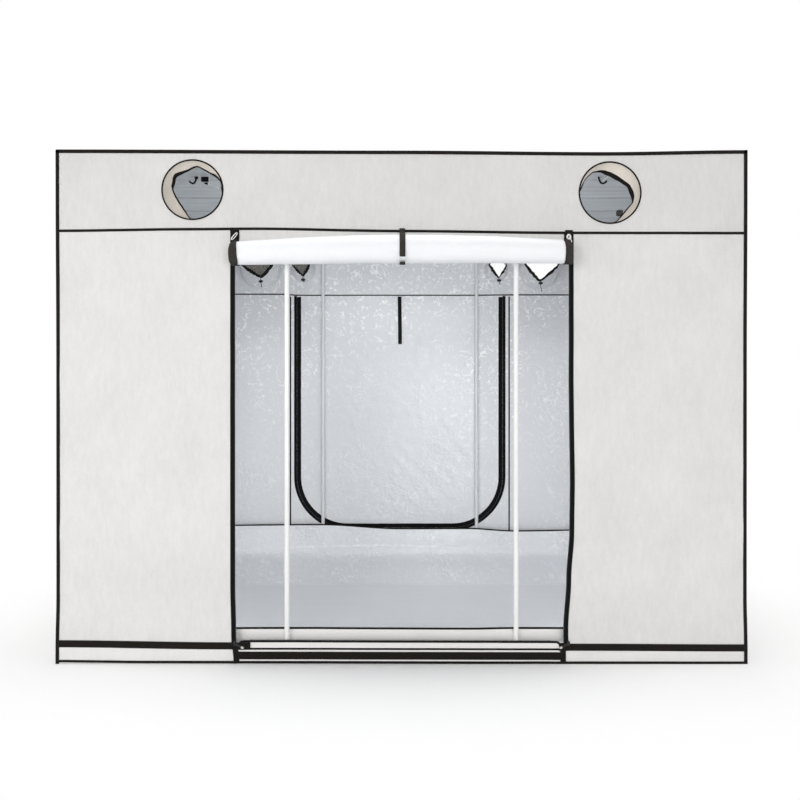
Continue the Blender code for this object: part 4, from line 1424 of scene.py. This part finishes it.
def make_centre_strap():
    x = 0.003
    ring_at = around_roll(x, math.radians(233), 0.0062)
    out = (ring_at - roll_axis(x)).normalized()
    along = Vector((0, out.z, -out.y))
    if along.z > 0:
        along = -along

    def over_bar(bar, steps):
        """The strap's turn round a bar of the ring: steps are (along the roll's face, out of it)."""
        return [bar + along * a + out * b for a, b in steps]

    def strap(name, path):
        shape = bmesh.new()
        add_strap(shape, path, 0.0235, 0.0042)
        return to_object(name, shape, [STRAP_FACE, BLACK_WEBBING])

    top_bar, low_bar = ring_at - along * 0.0195, ring_at + along * 0.0195
    path = [Vector((x, STRAP_HANGS, SEAM + 0.012)), Vector((x, STRAP_HANGS, SEAM - 0.006))]
    turns = steps_between(strap_leaves(x) + 0.02, math.radians(203), 0.09)
    path += [around_roll(x, turn, STRAP_LIFT) for turn in turns]
    path += over_bar(top_bar, ((-0.006, 0.0034), (0, 0.0036), (0.0034, 0.0012), (0.003, -0.0022), (-0.004, -0.0034)))
    path += [around_roll(x, math.radians(turn), 0.0009) for turn in (206, 194)]
    front = ridden(strap("centre_strap_front", path), "root", "webbing", "centre_strap")
    shape = bmesh.new()
    add_ring(shape, ring_at, SIDEWAYS, along, 0.036, 0.0435, 0.0023, 4.0)
    ring = hard_piece("centre_strap_ring", shape, WHITE_PLASTIC)
    path = [around_roll(x, math.radians(turn), 0.0009) for turn in (268, 260)]
    path += over_bar(low_bar, ((0.003, -0.0034), (-0.003, -0.002), (-0.0034, 0.0012), (0, 0.0036), (0.007, 0.0028)))
    turns = steps_between(math.radians(258), FULL_TURN - 0.04, 0.09)
    path += [around_roll(x, turn, STRAP_LIFT) for turn in turns]
    path += [Vector((x, STRAP_INSIDE, z)) for z in (roll_axis(x).z + 0.02, SEAM - 0.02, SEAM + 0.02)]
    rear = ridden(strap("centre_strap_rear", path), "root", "webbing")
    squash_with_roll(front, ring, rear)


def make_end_strap(side, x, top, line, widths):
    """A strap round one end of the roll. line and widths give its middle's x and its width along its length."""
    edge = END_STRAP_X * x
    turns = steps_between(strap_leaves(edge) + 0.05, FULL_TURN - 0.04, 0.1)
    shares = [0.0, 0.04] + [0.1 + 0.9 * i / (len(turns) - 1) for i in range(len(turns))] + [1.0] * 3
    path = [Vector((0, STRAP_HANGS - 0.003, top)), Vector((0, STRAP_HANGS - 0.004, top - 0.012))]
    path += [around_roll(edge, turn, STRAP_LIFT) for turn in turns]
    path += [Vector((0, STRAP_INSIDE, z)) for z in (roll_axis(edge).z + 0.02, SEAM - 0.02, SEAM + 0.015)]
    for point, share in zip(path, shares):
        point.x = eased(share, line)
    shape = bmesh.new()
    add_strap(shape, path, [eased(share, widths) for share in shares], 0.006)
    return webbing(f"{side}_end_strap", shape, STRAP_FACE, BLACK_ZIP_TAPE)


def make_end_tab(side, x, zs, width):
    """The short tab on the header that holds the strap's hook or ring."""
    shape = bmesh.new()
    add_strap(shape, [Vector((x, STRAP_HANGS - 0.0005, z)) for z in zs], width)
    return webbing(f"{side}_end_tab", shape, BLACK_WEBBING)


def make_end_straps():
    line = ((0.0, -0.7245), (0.1, -0.708), (0.18, -0.711), (0.43, -0.7116), (0.64, -0.7127), (1.0, -0.703))
    widths = ((0.0, 0.017), (0.1, 0.0194), (0.18, 0.0275), (0.3, 0.0335), (0.5, 0.035), (0.64, 0.027), (1.0, 0.025))
    pieces = [make_end_strap("left", -1, 1.846, line, widths)]
    pieces.append(make_end_tab("left", -0.7215, (SEAM + 0.008, SEAM - 0.015, 1.8415), 0.035))
    slant, over = Vector((0.64, 0, 0.768)), Vector((0.768, 0, -0.64))
    shape = bmesh.new()
    add_ring(shape, Vector((-0.7248, STRAP_HANGS - 0.0042, 1.8555)), over, slant, 0.0135, 0.041, 0.0022, 2.6)
    pieces.append(hard_piece("left_end_hook", shape, WHITE_PLASTIC))
    line = ((0.0, 0.722), (0.1, 0.7048), (0.3, 0.7044), (0.45, 0.7059), (0.53, 0.7086), (0.6, 0.7116), (1.0, 0.709))
    widths = ((0.0, 0.03), (0.1, 0.0376), (0.18, 0.032), (0.3, 0.0285), (0.45, 0.03), (0.6, 0.0357), (1.0, 0.03))
    pieces.append(make_end_strap("right", 1, 1.842, line, widths))
    pieces.append(make_end_tab("right", 0.726, (SEAM + 0.004, SEAM - 0.02, 1.838), 0.034))
    shape = bmesh.new()
    middle = Vector((0.7245, STRAP_HANGS - 0.0046, 1.8525))
    add_ring(shape, middle, SIDEWAYS, UPWARD, 0.0215, 0.026, 0.0042, 2.0, 10)
    tail = [Vector((0.7285, STRAP_HANGS - 0.0062, 1.8405))]
    for degrees, x in ((105, 0.72), (118, 0.7135), (132, 0.7138), (148, 0.7146)):
        point = around_roll(END_STRAP_X, math.radians(degrees), 0.0056)
        tail.append(Vector((x, point.y, point.z)))
    add_tube(shape, tail, 0.0016)
    pieces.append(hard_piece("right_end_ring", shape, WHITE_PLASTIC))
    squash_with_roll(*pieces)


# ---- vent sleeves

DRAWCORD_R = 0.002

# The mouth's outline from the vent's middle, and how wide its binding shows at each angle in degrees
FRONT_MOUTHS = {
    "left": (
        [
            (0.1089, 0.0539), (0.0998, 0.0651), (0.0835, 0.0782), (0.0673, 0.0864), (0.043, 0.1001),
            (0.0085, 0.1212), (-0.0097, 0.1147), (-0.03, 0.1036), (-0.0463, 0.0954), (-0.0625, 0.0884),
            (-0.0808, 0.0782), (-0.0909, 0.0701), (-0.0934, 0.0458), (-0.098, 0.0336), (-0.1021, 0.0174),
            (-0.0849, -0.0191), (-0.0524, -0.0678), (-0.026, -0.1104), (0.02, -0.125), (0.09, -0.085), (0.118, -0.02),
        ],
        (
            (0, 0.008), (20, 0.01), (33, 0.015), (43, 0.0145), (54, 0.0075), (106, 0.0075), (116, 0.01), (136, 0.018),
            (146, 0.0165), (161, 0.0125), (171, 0.006), (360, 0.006),
        ),
    ),
    "right": (
        [
            (-0.1161, 0.0201), (-0.1009, 0.0546), (-0.0979, 0.0667), (-0.0857, 0.083), (-0.0715, 0.0972),
            (-0.0573, 0.1083), (-0.0249, 0.1103), (-0.0046, 0.0992), (0.0157, 0.0921), (0.0359, 0.0789),
            (0.0562, 0.0708), (0.0765, 0.0566), (0.0968, 0.0424), (0.1049, 0.016), (0.115, -0.0083),
            (0.1171, -0.0265), (0.0887, -0.058), (0.0461, -0.1107), (-0.03, -0.125), (-0.1, -0.08), (-0.125, -0.03),
        ],
        (
            (0, 0.0175), (9, 0.019), (24, 0.015), (51, 0.0145), (65, 0.0175), (93, 0.0175), (103, 0.0115),
            (112, 0.0075), (146, 0.007), (153, 0.012), (172, 0.012), (185, 0.006), (340, 0.0065), (347, 0.0075),
            (360, 0.0175),
        ),
    ),
}
# name: x, z, radius, depth, mouth, the lock's drop below the mouth's lowest point, whether a net is in it
REAR_SLEEVES = {
    "rear_left_vent": (
        -VENT_X, VENT_Z, VENT_R, 0.15, [(-0.1, 0.0), (0.03, -0.079), (0.1, 0.0), (0.0, 0.1)], 0.036, True,
    ),
    "rear_right_vent": (
        VENT_X, VENT_Z, VENT_R, 0.15, [(-0.115, 0.0), (-0.021, -0.105), (0.1, 0.0), (0.0, 0.1)], 0.022, False,
    ),
    "rear_left_cable": (
        -CABLE_VENT_X, CABLE_VENT_Z, CABLE_VENT_R, 0.12,
        [(-0.058, 0.014), (0.012, -0.055), (0.047, 0.014), (0.0, 0.06)], 0.032, True,
    ),
    "rear_right_cable": (
        CABLE_VENT_X, CABLE_VENT_Z, CABLE_VENT_R, 0.12,
        [(-0.056, 0.014), (0.002, -0.069), (0.053, 0.014), (0.0, 0.06)], 0.022, False,
    ),
}
# Points round a sleeve
ROUND = 96


def mouth_reach(mouth, turn):
    """How far the mouth's outline lies from the vent's middle line, in the direction turn."""
    way = Vector((math.cos(turn), math.sin(turn)))
    best = 0.0
    for a, b in zip(mouth, mouth[1:] + mouth[:1]):
        a, b = Vector(a), Vector(b)
        side = b - a
        det = way.x * -side.y + way.y * side.x
        if abs(det) > 1e-9:
            reach = (a.x * -side.y + a.y * side.x) / det
            share = (way.x * a.y - way.y * a.x) / det
            if reach > 0 and -1e-6 <= share <= 1 + 1e-6:
                best = max(best, reach)
    return best


def sleeve_lay(x, z, radius, mouth, depth, wall, inward, gather):
    """Where the sleeve's cloth lies: turn goes round, way goes from its seam on the wall to its mouth."""
    reach = [mouth_reach(mouth, FULL_TURN * i / ROUND) for i in range(ROUND)]
    soft = [(reach[i - 1] + 2 * reach[i] + reach[(i + 1) % ROUND]) / 4 for i in range(ROUND)]

    def lay(turn, way):
        c, s = math.cos(turn), math.sin(turn)
        at = (turn / FULL_TURN * ROUND) % ROUND
        i = int(at)
        mouth_r = soft[i] + (soft[(i + 1) % ROUND] - soft[i]) * (at - i)
        drawn = way**1.6
        pleat = gather * eased_step(way, 0.15, 0.9) * math.sin(13 * turn + 2.5 * math.sin(3 * turn))
        crumple = 1.1 * gather * lumps(2 * c, 2 * s + 3 * way, 0.7, x) * eased_step(way, 0, 0.2)
        r = radius * (1 - drawn) + mouth_r * drawn + (pleat + crumple)
        return Vector((x + r * c, wall + inward * depth * way, z + r * s))

    return lay


def binding_start(lay, turn, width):
    """How far along the sleeve its mouth's binding starts, for the binding to be this wide."""
    mouth = lay(turn, 1.0)
    way = 1.0
    while way > 0.55 and (lay(turn, way) - mouth).length < width:
        way -= 0.01
    return way


def make_sleeve(name, lay, depth, radius, inward, finishes, widths=((0, 0.023), (360, 0.023))):
    """A vent's sleeve and the binding round its mouth, as wide as widths gives for each angle in degrees."""
    turns = [FULL_TURN * i / ROUND for i in range(ROUND + 1)]
    turns = turns if inward < 0 else turns[::-1]

    def flat(turn, way):
        return turn * radius, way * depth

    cloth = grid_cloth(f"{name}_sleeve_cloth", turns, steps_between(0, 1, 0.1), lay, finishes, flat, joined=True)
    slot = "cover_cloth" if inward > 0 else "lining_cloth"
    wall = name.rsplit("_", 2)[0]
    as_sheet(cloth, slot, f"{name}_sleeve", (FULL_TURN * radius, depth * 1.12), f"{wall}_header_cloth", "gathered")
    starts = {turn: binding_start(lay, turn, eased(math.degrees(turn), widths)) for turn in turns}

    def on_mouth(turn, share):
        return lay(turn, starts[turn] + (1.015 - starts[turn]) * share)

    shares = steps_between(0, 1, 0.34)
    binding = grid_cloth(f"{name}_mouth_binding", turns, shares, on_mouth, [BLACK_BINDING], flat, 0.0027, joined=True)
    ridden(binding, "root", "webbing")


def make_net(name, x, z, y, radius):
    """A net of square meshes, hung by a corner: strands in two slanting directions, cut to a circle."""
    lines = []
    pitch = 0.0047
    most = int(1.414 * radius / pitch)
    for way in (1, -1):
        for i in range(-most, most + 1):
            offset = i * pitch
            half = radius**2 - offset**2 / 2
            if half <= 0.0001:
                continue
            mid = Vector((x + way * offset / 2, y + 0.0003 * way, z + offset / 2))
            along = Vector((-way, 0, 1)) * (math.sqrt(half) / math.sqrt(2))
            lines.append([mid - along, mid, mid + along])
    ridden(repeated(f"{name}_net", NET, lines, NET_STRAND), "root", "webbing")


def make_cord_lock(name, tip, drop, tail):
    """The drawcord comes out of the mouth's binding, through a cord lock, to a knotted end."""
    path = [tip + Vector((0.0, 0.0, 0.002))]
    count = 15
    for i in range(1, count + 1):
        share = i / count
        bend = 0.006 * eased_step(share, 0.45, 1.0)
        path.append(tip + Vector((bend, -0.001 * share, -tail * share)))
    shape = bmesh.new()
    add_tube(shape, path, DRAWCORD_R)
    cord = webbing(f"{name}_drawcord", shape, DRAWCORD)
    at = tip + Vector((0.001, -0.0005, -drop))
    shape = bmesh.new()
    add_ring(shape, at, SIDEWAYS, UPWARD, 0.022, 0.0175, 0.0048, 3.0)
    barrel = [at + Vector((s, 0, 0)) for s in (-0.0128, -0.0118, -0.006, 0.006, 0.0118, 0.0128)]
    for end in (barrel[:3], barrel[3:]):
        add_tube(shape, end, 0.0062, 12, REARWARD)
    add_tube(shape, [at + Vector((0, 0, s)) for s in (-0.0085, -0.006, 0.006, 0.0085)], 0.0055, 12)
    lock = hard_piece(f"{name}_cord_lock", shape, BLACK_PLASTIC)
    shape = bmesh.new()
    for i, turn in enumerate((0.0, 2.1, 4.2)):
        centre = path[-1] + Vector((0.0008 * math.cos(turn), 0.0008 * math.sin(turn), -0.0008 + 0.0013 * i))
        tilt = Vector((math.cos(turn + 0.6), math.sin(turn + 0.6), 0.45)).normalized()
        side = tilt.cross(UPWARD).normalized()
        add_ring(shape, centre, side, tilt.cross(side), 0.0062, 0.006, 0.0016, 2.0, 6)
    knot = hard_piece(f"{name}_cord_knot", shape, DRAWCORD)
    tuple(path[0])
    sum((b - a).length for a, b in zip(path, path[1:]))
    [tuple(point) for point in path]


def make_sleeves():
    for side, x in (("left", -VENT_X), ("right", VENT_X)):
        centre = on_front(x, VENT_Z)
        mouth, widths = FRONT_MOUTHS[side]
        lay = sleeve_lay(centre.x, centre.z, VENT_R - 0.0005, mouth, 0.052, FRONT + 0.0022, 1, 0.0004)
        make_sleeve(f"front_{side}_vent", lay, 0.052, VENT_R, 1, [COVER, SLEEVE], widths)
    shape = bmesh.new()
    for half_x, half_z, near, far in ((0.0135, 0.0115, 0.053, 0.066), (0.0095, 0.014, 0.056, 0.063)):
        outline = rounded_outline(2 * half_x, 2 * half_z, 0.003)

        def at_mouth(a, b, depth):
            return Vector((0.966 + a, FRONT + near + depth, 1.976 + b))

        add_plate(shape, outline, at_mouth, far - near, 0.0008)
    hard_piece("front_right_mouth_lock", shape, BLACK_PLASTIC)
    for name, (x, z, radius, depth, mouth, drop, netted) in REAR_SLEEVES.items():
        lay = sleeve_lay(x, z, radius - 0.0005, mouth, depth, REAR - 0.0022, -1, 0.0018)
        make_sleeve(name, lay, depth, radius, -1, [REAR_LINING, COVER])
        low = min(mouth, key=lambda point: point[1])
        tip = lay(math.atan2(low[1], low[0]) % FULL_TURN, 1.0)
        tail = 0.07 if radius > 0.1 else 0.044
        make_cord_lock(name, tip + Vector((0, -0.0015, -0.001)), drop, tail)
        if netted:
            make_net(name, x, z, REAR - 0.03, radius - 0.006)


# ---- floor tray

TRAY_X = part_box("floor_tray")[1].x - 0.0008
TRAY_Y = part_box("floor_tray")[1].y - 0.0008
TRAY_FLOOR = 0.0028
REAR_RIM = ((-1.47, 0.384), (-0.5, 0.391), (0.0, 0.365), (0.45, 0.366), (0.74, 0.350), (1.47, 0.362))
FRONT_RIM = ((-1.47, 0.146), (-0.5, 0.149), (0.3, 0.146), (0.5, 0.149), (1.47, 0.146))


def tray_floor(x, y):
    edge = min(TRAY_X - abs(x), TRAY_Y - abs(y))
    wrinkle = 0.5 + 0.5 * lumps(x * 0.35, y * 2.2, 0.16, 21.0)
    fine = 0.5 + 0.5 * lumps(x * 0.5, y * 3.0, 0.05, 23.0)
    lie = eased_step(edge, 0.0, 0.03)
    return Vector((x, y, TRAY_FLOOR + 0.004 * (1 - lie) ** 2 + lie * (0.0022 * wrinkle + 0.0012 * fine)))


def tray_rim(x, y):
    front, rear = eased(x, FRONT_RIM), eased(x, REAR_RIM)
    share = (y + TRAY_Y) / (2 * TRAY_Y)
    return front + (rear - front) * share


def post_folds(x, z, rim):
    """Folds that fan out from where the rear wall of the tray is held up at the posts."""
    out = 0.0
    for post in (-BAR_X, BAR_X):
        across, down = x - post, rim - z
        if down > 0.01 and abs(across) < 0.32:
            fan = math.atan2(across, down)
            fade = eased_step(down, 0.01, 0.05) * (1 - eased_step(math.hypot(across, down), 0.12, 0.3))
            out += 0.004 * fade * (math.sin(9 * fan + 1.2 * post) + 0.5 * math.sin(17 * fan + 2))
    return out


def tray_wall(x, y, way):
    """The tray's wall above the floor's edge at (x, y), way of the way up to its rim."""
    on_end, on_side = abs(y) > TRAY_Y - 1e-6, abs(x) > TRAY_X - 1e-6
    low = tray_floor(x, y).z
    rim = tray_rim(x, y)
    z = low + (rim - low) * way
    corner = min(TRAY_X - abs(x) if on_end else 1.0, TRAY_Y - abs(y) if on_side else 1.0)
    free = eased_step(corner, 0.0, 0.12) * eased_step(way, 0.0, 0.12)
    lean = 0.0012 * lumps(x + 2 * y, z, 0.1, 31.0) + 0.0012
    if y > TRAY_Y - 1e-6:
        lean += 0.034 * math.exp(-(((z - 0.205) / 0.085) ** 2)) * (1 - way**6)
        lean += post_folds(x, z, rim) + 0.004 * lumps(x, z, 0.09, 33.0) * eased_step(z, 0.18, 0.25) * (1 - way**4)
        return Vector((x, y - free * max(0.0, lean), z))
    if y < 1e-6 - TRAY_Y:
        lean += 0.003 * math.sin(math.pi * way)
        return Vector((x, y + free * max(0.0, lean), z))
    lean += 0.012 * math.sin(math.pi * way) * (1 + lumps(y, z, 0.2, 35.0))
    return Vector((x - math.copysign(free * max(0.0, lean), x), y, z))


def make_tray():
    xs = steps_between(-TRAY_X, TRAY_X, 0.026)
    ys = steps_between(-TRAY_Y, TRAY_Y, 0.02)
    ways = steps_between(0, 1, 0.05)
    shape = bmesh.new()
    add_grid(shape, xs, ys, tray_floor)
    for y in (-TRAY_Y, TRAY_Y):
        add_grid(shape, xs, ways, lambda x, way: tray_wall(x, y, way), lambda x, way: (x, y + 0.4 * way))
    for x in (-TRAY_X, TRAY_X):
        add_grid(shape, ys, ways, lambda y, way: tray_wall(x, y, way), lambda y, way: (y, x + 0.4 * way))
    bmesh.ops.remove_doubles(shape, verts=shape.verts, dist=0.0004)
    bmesh.ops.recalc_face_normals(shape, faces=shape.faces)
    middle = min(shape.faces, key=lambda face: face.calc_center_median().length)
    if middle.normal.z < 0:
        bmesh.ops.reverse_faces(shape, faces=shape.faces)
    tray = to_object("floor_tray_cloth", shape, [TRAY_INSIDE, TRAY_OUTSIDE_LIT])
    thicken(tray, CLOTH, True)
    # The floor of the tray takes the paler copy of its coating: painted light.
    tray.data.materials.append(TRAY_GROUND_LIT)
    for face in tray.data.polygons:
        if face.material_index == 0 and face.normal.z > 0.75 and face.center.z < 0.02:
            face.material_index = 2
    # The walls stand 0.15 high in front and 0.37 at the rear, and the sides rise from one to the other.
    opposite_walls = 0.15 + 0.37
    area = 4 * TRAY_X * TRAY_Y + 2 * TRAY_X * opposite_walls + 2 * TRAY_Y * opposite_walls
    size = (2 * TRAY_X + 0.76, 2 * TRAY_Y + 0.53)
    as_sheet(tray, "tray_cloth", "floor_tray", size, "floor_sheet_cloth", "laid", area=area)
    rim = [tray_wall(x, -TRAY_Y, 1.0) for x in xs[:-1]]
    rim += [tray_wall(TRAY_X, y, 1.0) for y in ys[:-1]]
    rim += [tray_wall(x, TRAY_Y, 1.0) for x in xs[:0:-1]]
    rim += [tray_wall(-TRAY_X, y, 1.0) for y in ys[:0:-1]]
    frames = []
    for along in headings(rim, closed=True):
        out = along.cross(UPWARD).normalized()
        frames.append((out, out.cross(along)))
    half = [(0.0016, 0.001), (0.001, 0.0018)]
    profile = half + [(-a, b) for a, b in reversed(half)] + [(-0.0015, -0.0066), (0.0015, -0.0066)]
    shape = bmesh.new()
    sweep(shape, rim, frames, profile, closed=True)
    ridden(to_object("tray_rim_binding", shape, [BLACK_BINDING], sharp_from=50), "root", "webbing")


# ---- zip sliders


def make_zip_slider(side, way):
    """A slider at the foot of the doorway zip: two plates round the teeth, a bridge, and a pull tab lying inwards."""
    body = f"{side}_slider"
    middle, foot, back = way * DOOR_EDGE, 0.08, FRONT - 0.0003

    def out_by(near):
        return lambda a, b, depth: Vector((middle + a, back - near - depth, foot + b))

    def behind_front_plate(a, b, depth):
        return Vector((middle + a, back - 0.0045 + depth, foot + b))

    shape = bmesh.new()
    outline = [(-0.0042, 0.0), (0.0042, 0.0), (0.0054, 0.004), (0.006, 0.0125), (0.0052, 0.019), (0.0028, 0.0217)]
    outline += [(0.0, 0.0208), (-0.0028, 0.0217), (-0.0052, 0.019), (-0.006, 0.0125), (-0.0054, 0.004)]
    for near, thick in ((0.0, 0.0014), (0.0034, 0.0015)):
        add_plate(shape, outline, out_by(near), thick)
    post = [(-0.0016, 0.014), (0.0, 0.010), (0.0016, 0.014), (0.0014, 0.0195), (-0.0014, 0.0195)]
    add_plate(shape, post, out_by(0.0012), 0.0026, 0.0001)
    for edge in (-0.0055, 0.0055):
        rail = rectangle(edge - 0.0006, edge + 0.0006, 0.003, 0.016)
        add_plate(shape, rail, behind_front_plate, 0.0014, 0.0001)
    arch = ((0.0046, 0.0035), (0.0058, 0.0042), (0.0066, 0.007), (0.0068, 0.011), (0.0066, 0.015), (0.0058, 0.0178))
    bridge = [Vector((middle, back - y, foot + z)) for y, z in (*arch, (0.0046, 0.0185))]
    sweep(shape, bridge, [(SIDEWAYS, UPWARD)] * len(bridge), rectangle(0.0013, -0.0013, 0.0006, -0.0006))
    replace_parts(hard_piece(f"{side}_slider_body", shape, SLIDER_METAL, body, "zip_metal"), f"{side}_zip_slider")
    turn = Matrix.Rotation(way * math.radians(62), 3, "Y")
    hang = Vector((middle, back - 0.0057, foot + 0.0105))

    def on_pull(a, b, depth):
        return hang + turn @ Vector((a, 0.0011 - depth, b))

    shape = bmesh.new()
    outer = [(-0.0024, 0.002), (0.0024, 0.002), (0.0042, -0.003), (0.0046, -0.012), (0.0046, -0.031)]
    outer += [(-0.0046, -0.031), (-0.0046, -0.012), (-0.0042, -0.003)]
    add_plate(shape, outer, on_pull, 0.0021, 0.0004)
    for z in (-0.012, -0.0165, -0.021, -0.0255):
        add_tube(shape, [on_pull(x, z, 0.0021) for x in (-0.0036, 0.0036)], 0.0005, 6, REARWARD)
    hard_piece(f"{side}_slider_pull", shape, SLIDER_METAL, body, "zip_metal")
    # The pull's pale tip stands where the light glints on the black pull: a painted highlight.
    shape = bmesh.new()
    grip = [(-0.0046, -0.0318), (0.0046, -0.0318), (0.0048, -0.040), (0.0034, -0.0438)]
    grip += [(0.0, -0.045), (-0.0034, -0.0438), (-0.0048, -0.040)]
    add_plate(shape, grip, lambda a, b, depth: on_pull(a, b, depth - 0.0003), 0.0027, 0.0005)
    hard_piece(f"{side}_slider_grip", shape, PULL_TIP_GLINT, body, "zip_metal")


# ---- ceiling

LOOPS_Y = -0.448
LEFT_LOOP = (
    (-0.979, 2.2243), (-0.979, 2.2224), (-0.9822, 2.2067), (-0.9875, 2.1965), (-0.9957, 2.1925), (-1.004, 2.1955),
    (-1.0129, 2.2032),
)
RIGHT_LOOP = (
    (0.9455, 2.2243), (0.9455, 2.2224), (0.9505, 2.2045), (0.9565, 2.1955), (0.9646, 2.1925), (0.974, 2.1955),
    (0.9838, 2.2032),
)


def make_ceiling_loops():
    """Webbing loops and patches sewn under the roof, for hanging lamps, with white hooks in them."""
    y = LOOPS_Y
    shape = bmesh.new()
    for loop in (LEFT_LOOP, RIGHT_LOOP):
        add_tube(shape, [Vector((x, y, z)) for x, z in loop], 0.0044, 8, REARWARD)
    add_tube(shape, [Vector((x, y, 2.2195)) for x in (-0.987, -0.972)], 0.0055, 8, REARWARD)
    left, right = -0.9565, -0.921
    patch = [Vector(((left + right) / 2, y, z)) for z in steps_between(2.2242, 2.2009, 0.008)]
    add_tape(shape, patch, FRONTWARD, right - left, 0.0026)
    outline = [(-0.9474, 2.1955), (-0.923, 2.1965), (-0.9255, 2.1835)]
    add_plate(shape, outline, lambda a, b, depth: Vector((a, y - 0.002 - depth, b)), 0.003, 0.0004)
    for x in (-0.935, 0.935):
        rear_y = 0.42
        high = TOP - 0.004 - roof_sag(x, rear_y)
        path = [
            Vector((x - 0.012 + 0.024 * share, rear_y, high - 0.034 * math.sin(math.pi * share) ** 0.6))
            for share in steps_between(0, 1, 0.08)
        ]
        add_tape(shape, path, [FRONTWARD.cross(along) for along in headings(path)], 0.02, WEBBING_THICK)
    webbing("ceiling_loops", shape, BLACK_WEBBING)
    shape = bmesh.new()
    hook = [(0.9627, 0.006, 2.2032), (0.975, 0.012, 2.2128), (0.986, 0.022, 2.2200)]
    add_tube(shape, [Vector((x, y - out, z)) for x, out, z in hook], 0.0045, 8, REARWARD)
    hook = [(-0.9225, 2.19), (-0.906, 2.184), (-0.893, 2.1759), (-0.87, 2.1695)]
    add_tube(shape, [Vector((x, y - 0.003, z)) for x, z in hook], 0.0026, 8, REARWARD)
    hard_piece("ceiling_hooks", shape, WHITE_PLASTIC)


# ---- everything in place


def finish_frame():
    for name, node in frame["nodes"].items():
        if any(word in name for word in ("post", "rail", "roof_bar")):
            finish = REAR_POLE_SHADED_PAINT if name in ("rear_left_inner_post", "rear_right_inner_post") else POLE_PAINT
        elif "corner" in name:
            finish = JOINT_PAINT
        else:
            continue
        for holder in node.material_slots:
            holder.material = finish


def sew():
    for body, lines in SEAMS.items():
        sewn = repeated(f"{body}_stitches_{DARK_THREAD.name}", STITCHES, lines, DARK_THREAD)
        ridden(sewn, body, "webbing")


finish_frame()
make_front_wall()
make_front_bindings()
make_doorway_zips()
make_side_walls()
make_roof()
make_floor_sheet()
make_edge_bindings()
make_rear_wall()
make_rear_bindings()
make_rear_tie_strap()
make_centre_strap()
make_rolled_door()
make_end_straps()
make_sleeves()
make_tray()
for side, way in SIDES:
    make_zip_slider(side, way)


make_ceiling_loops()
sew()
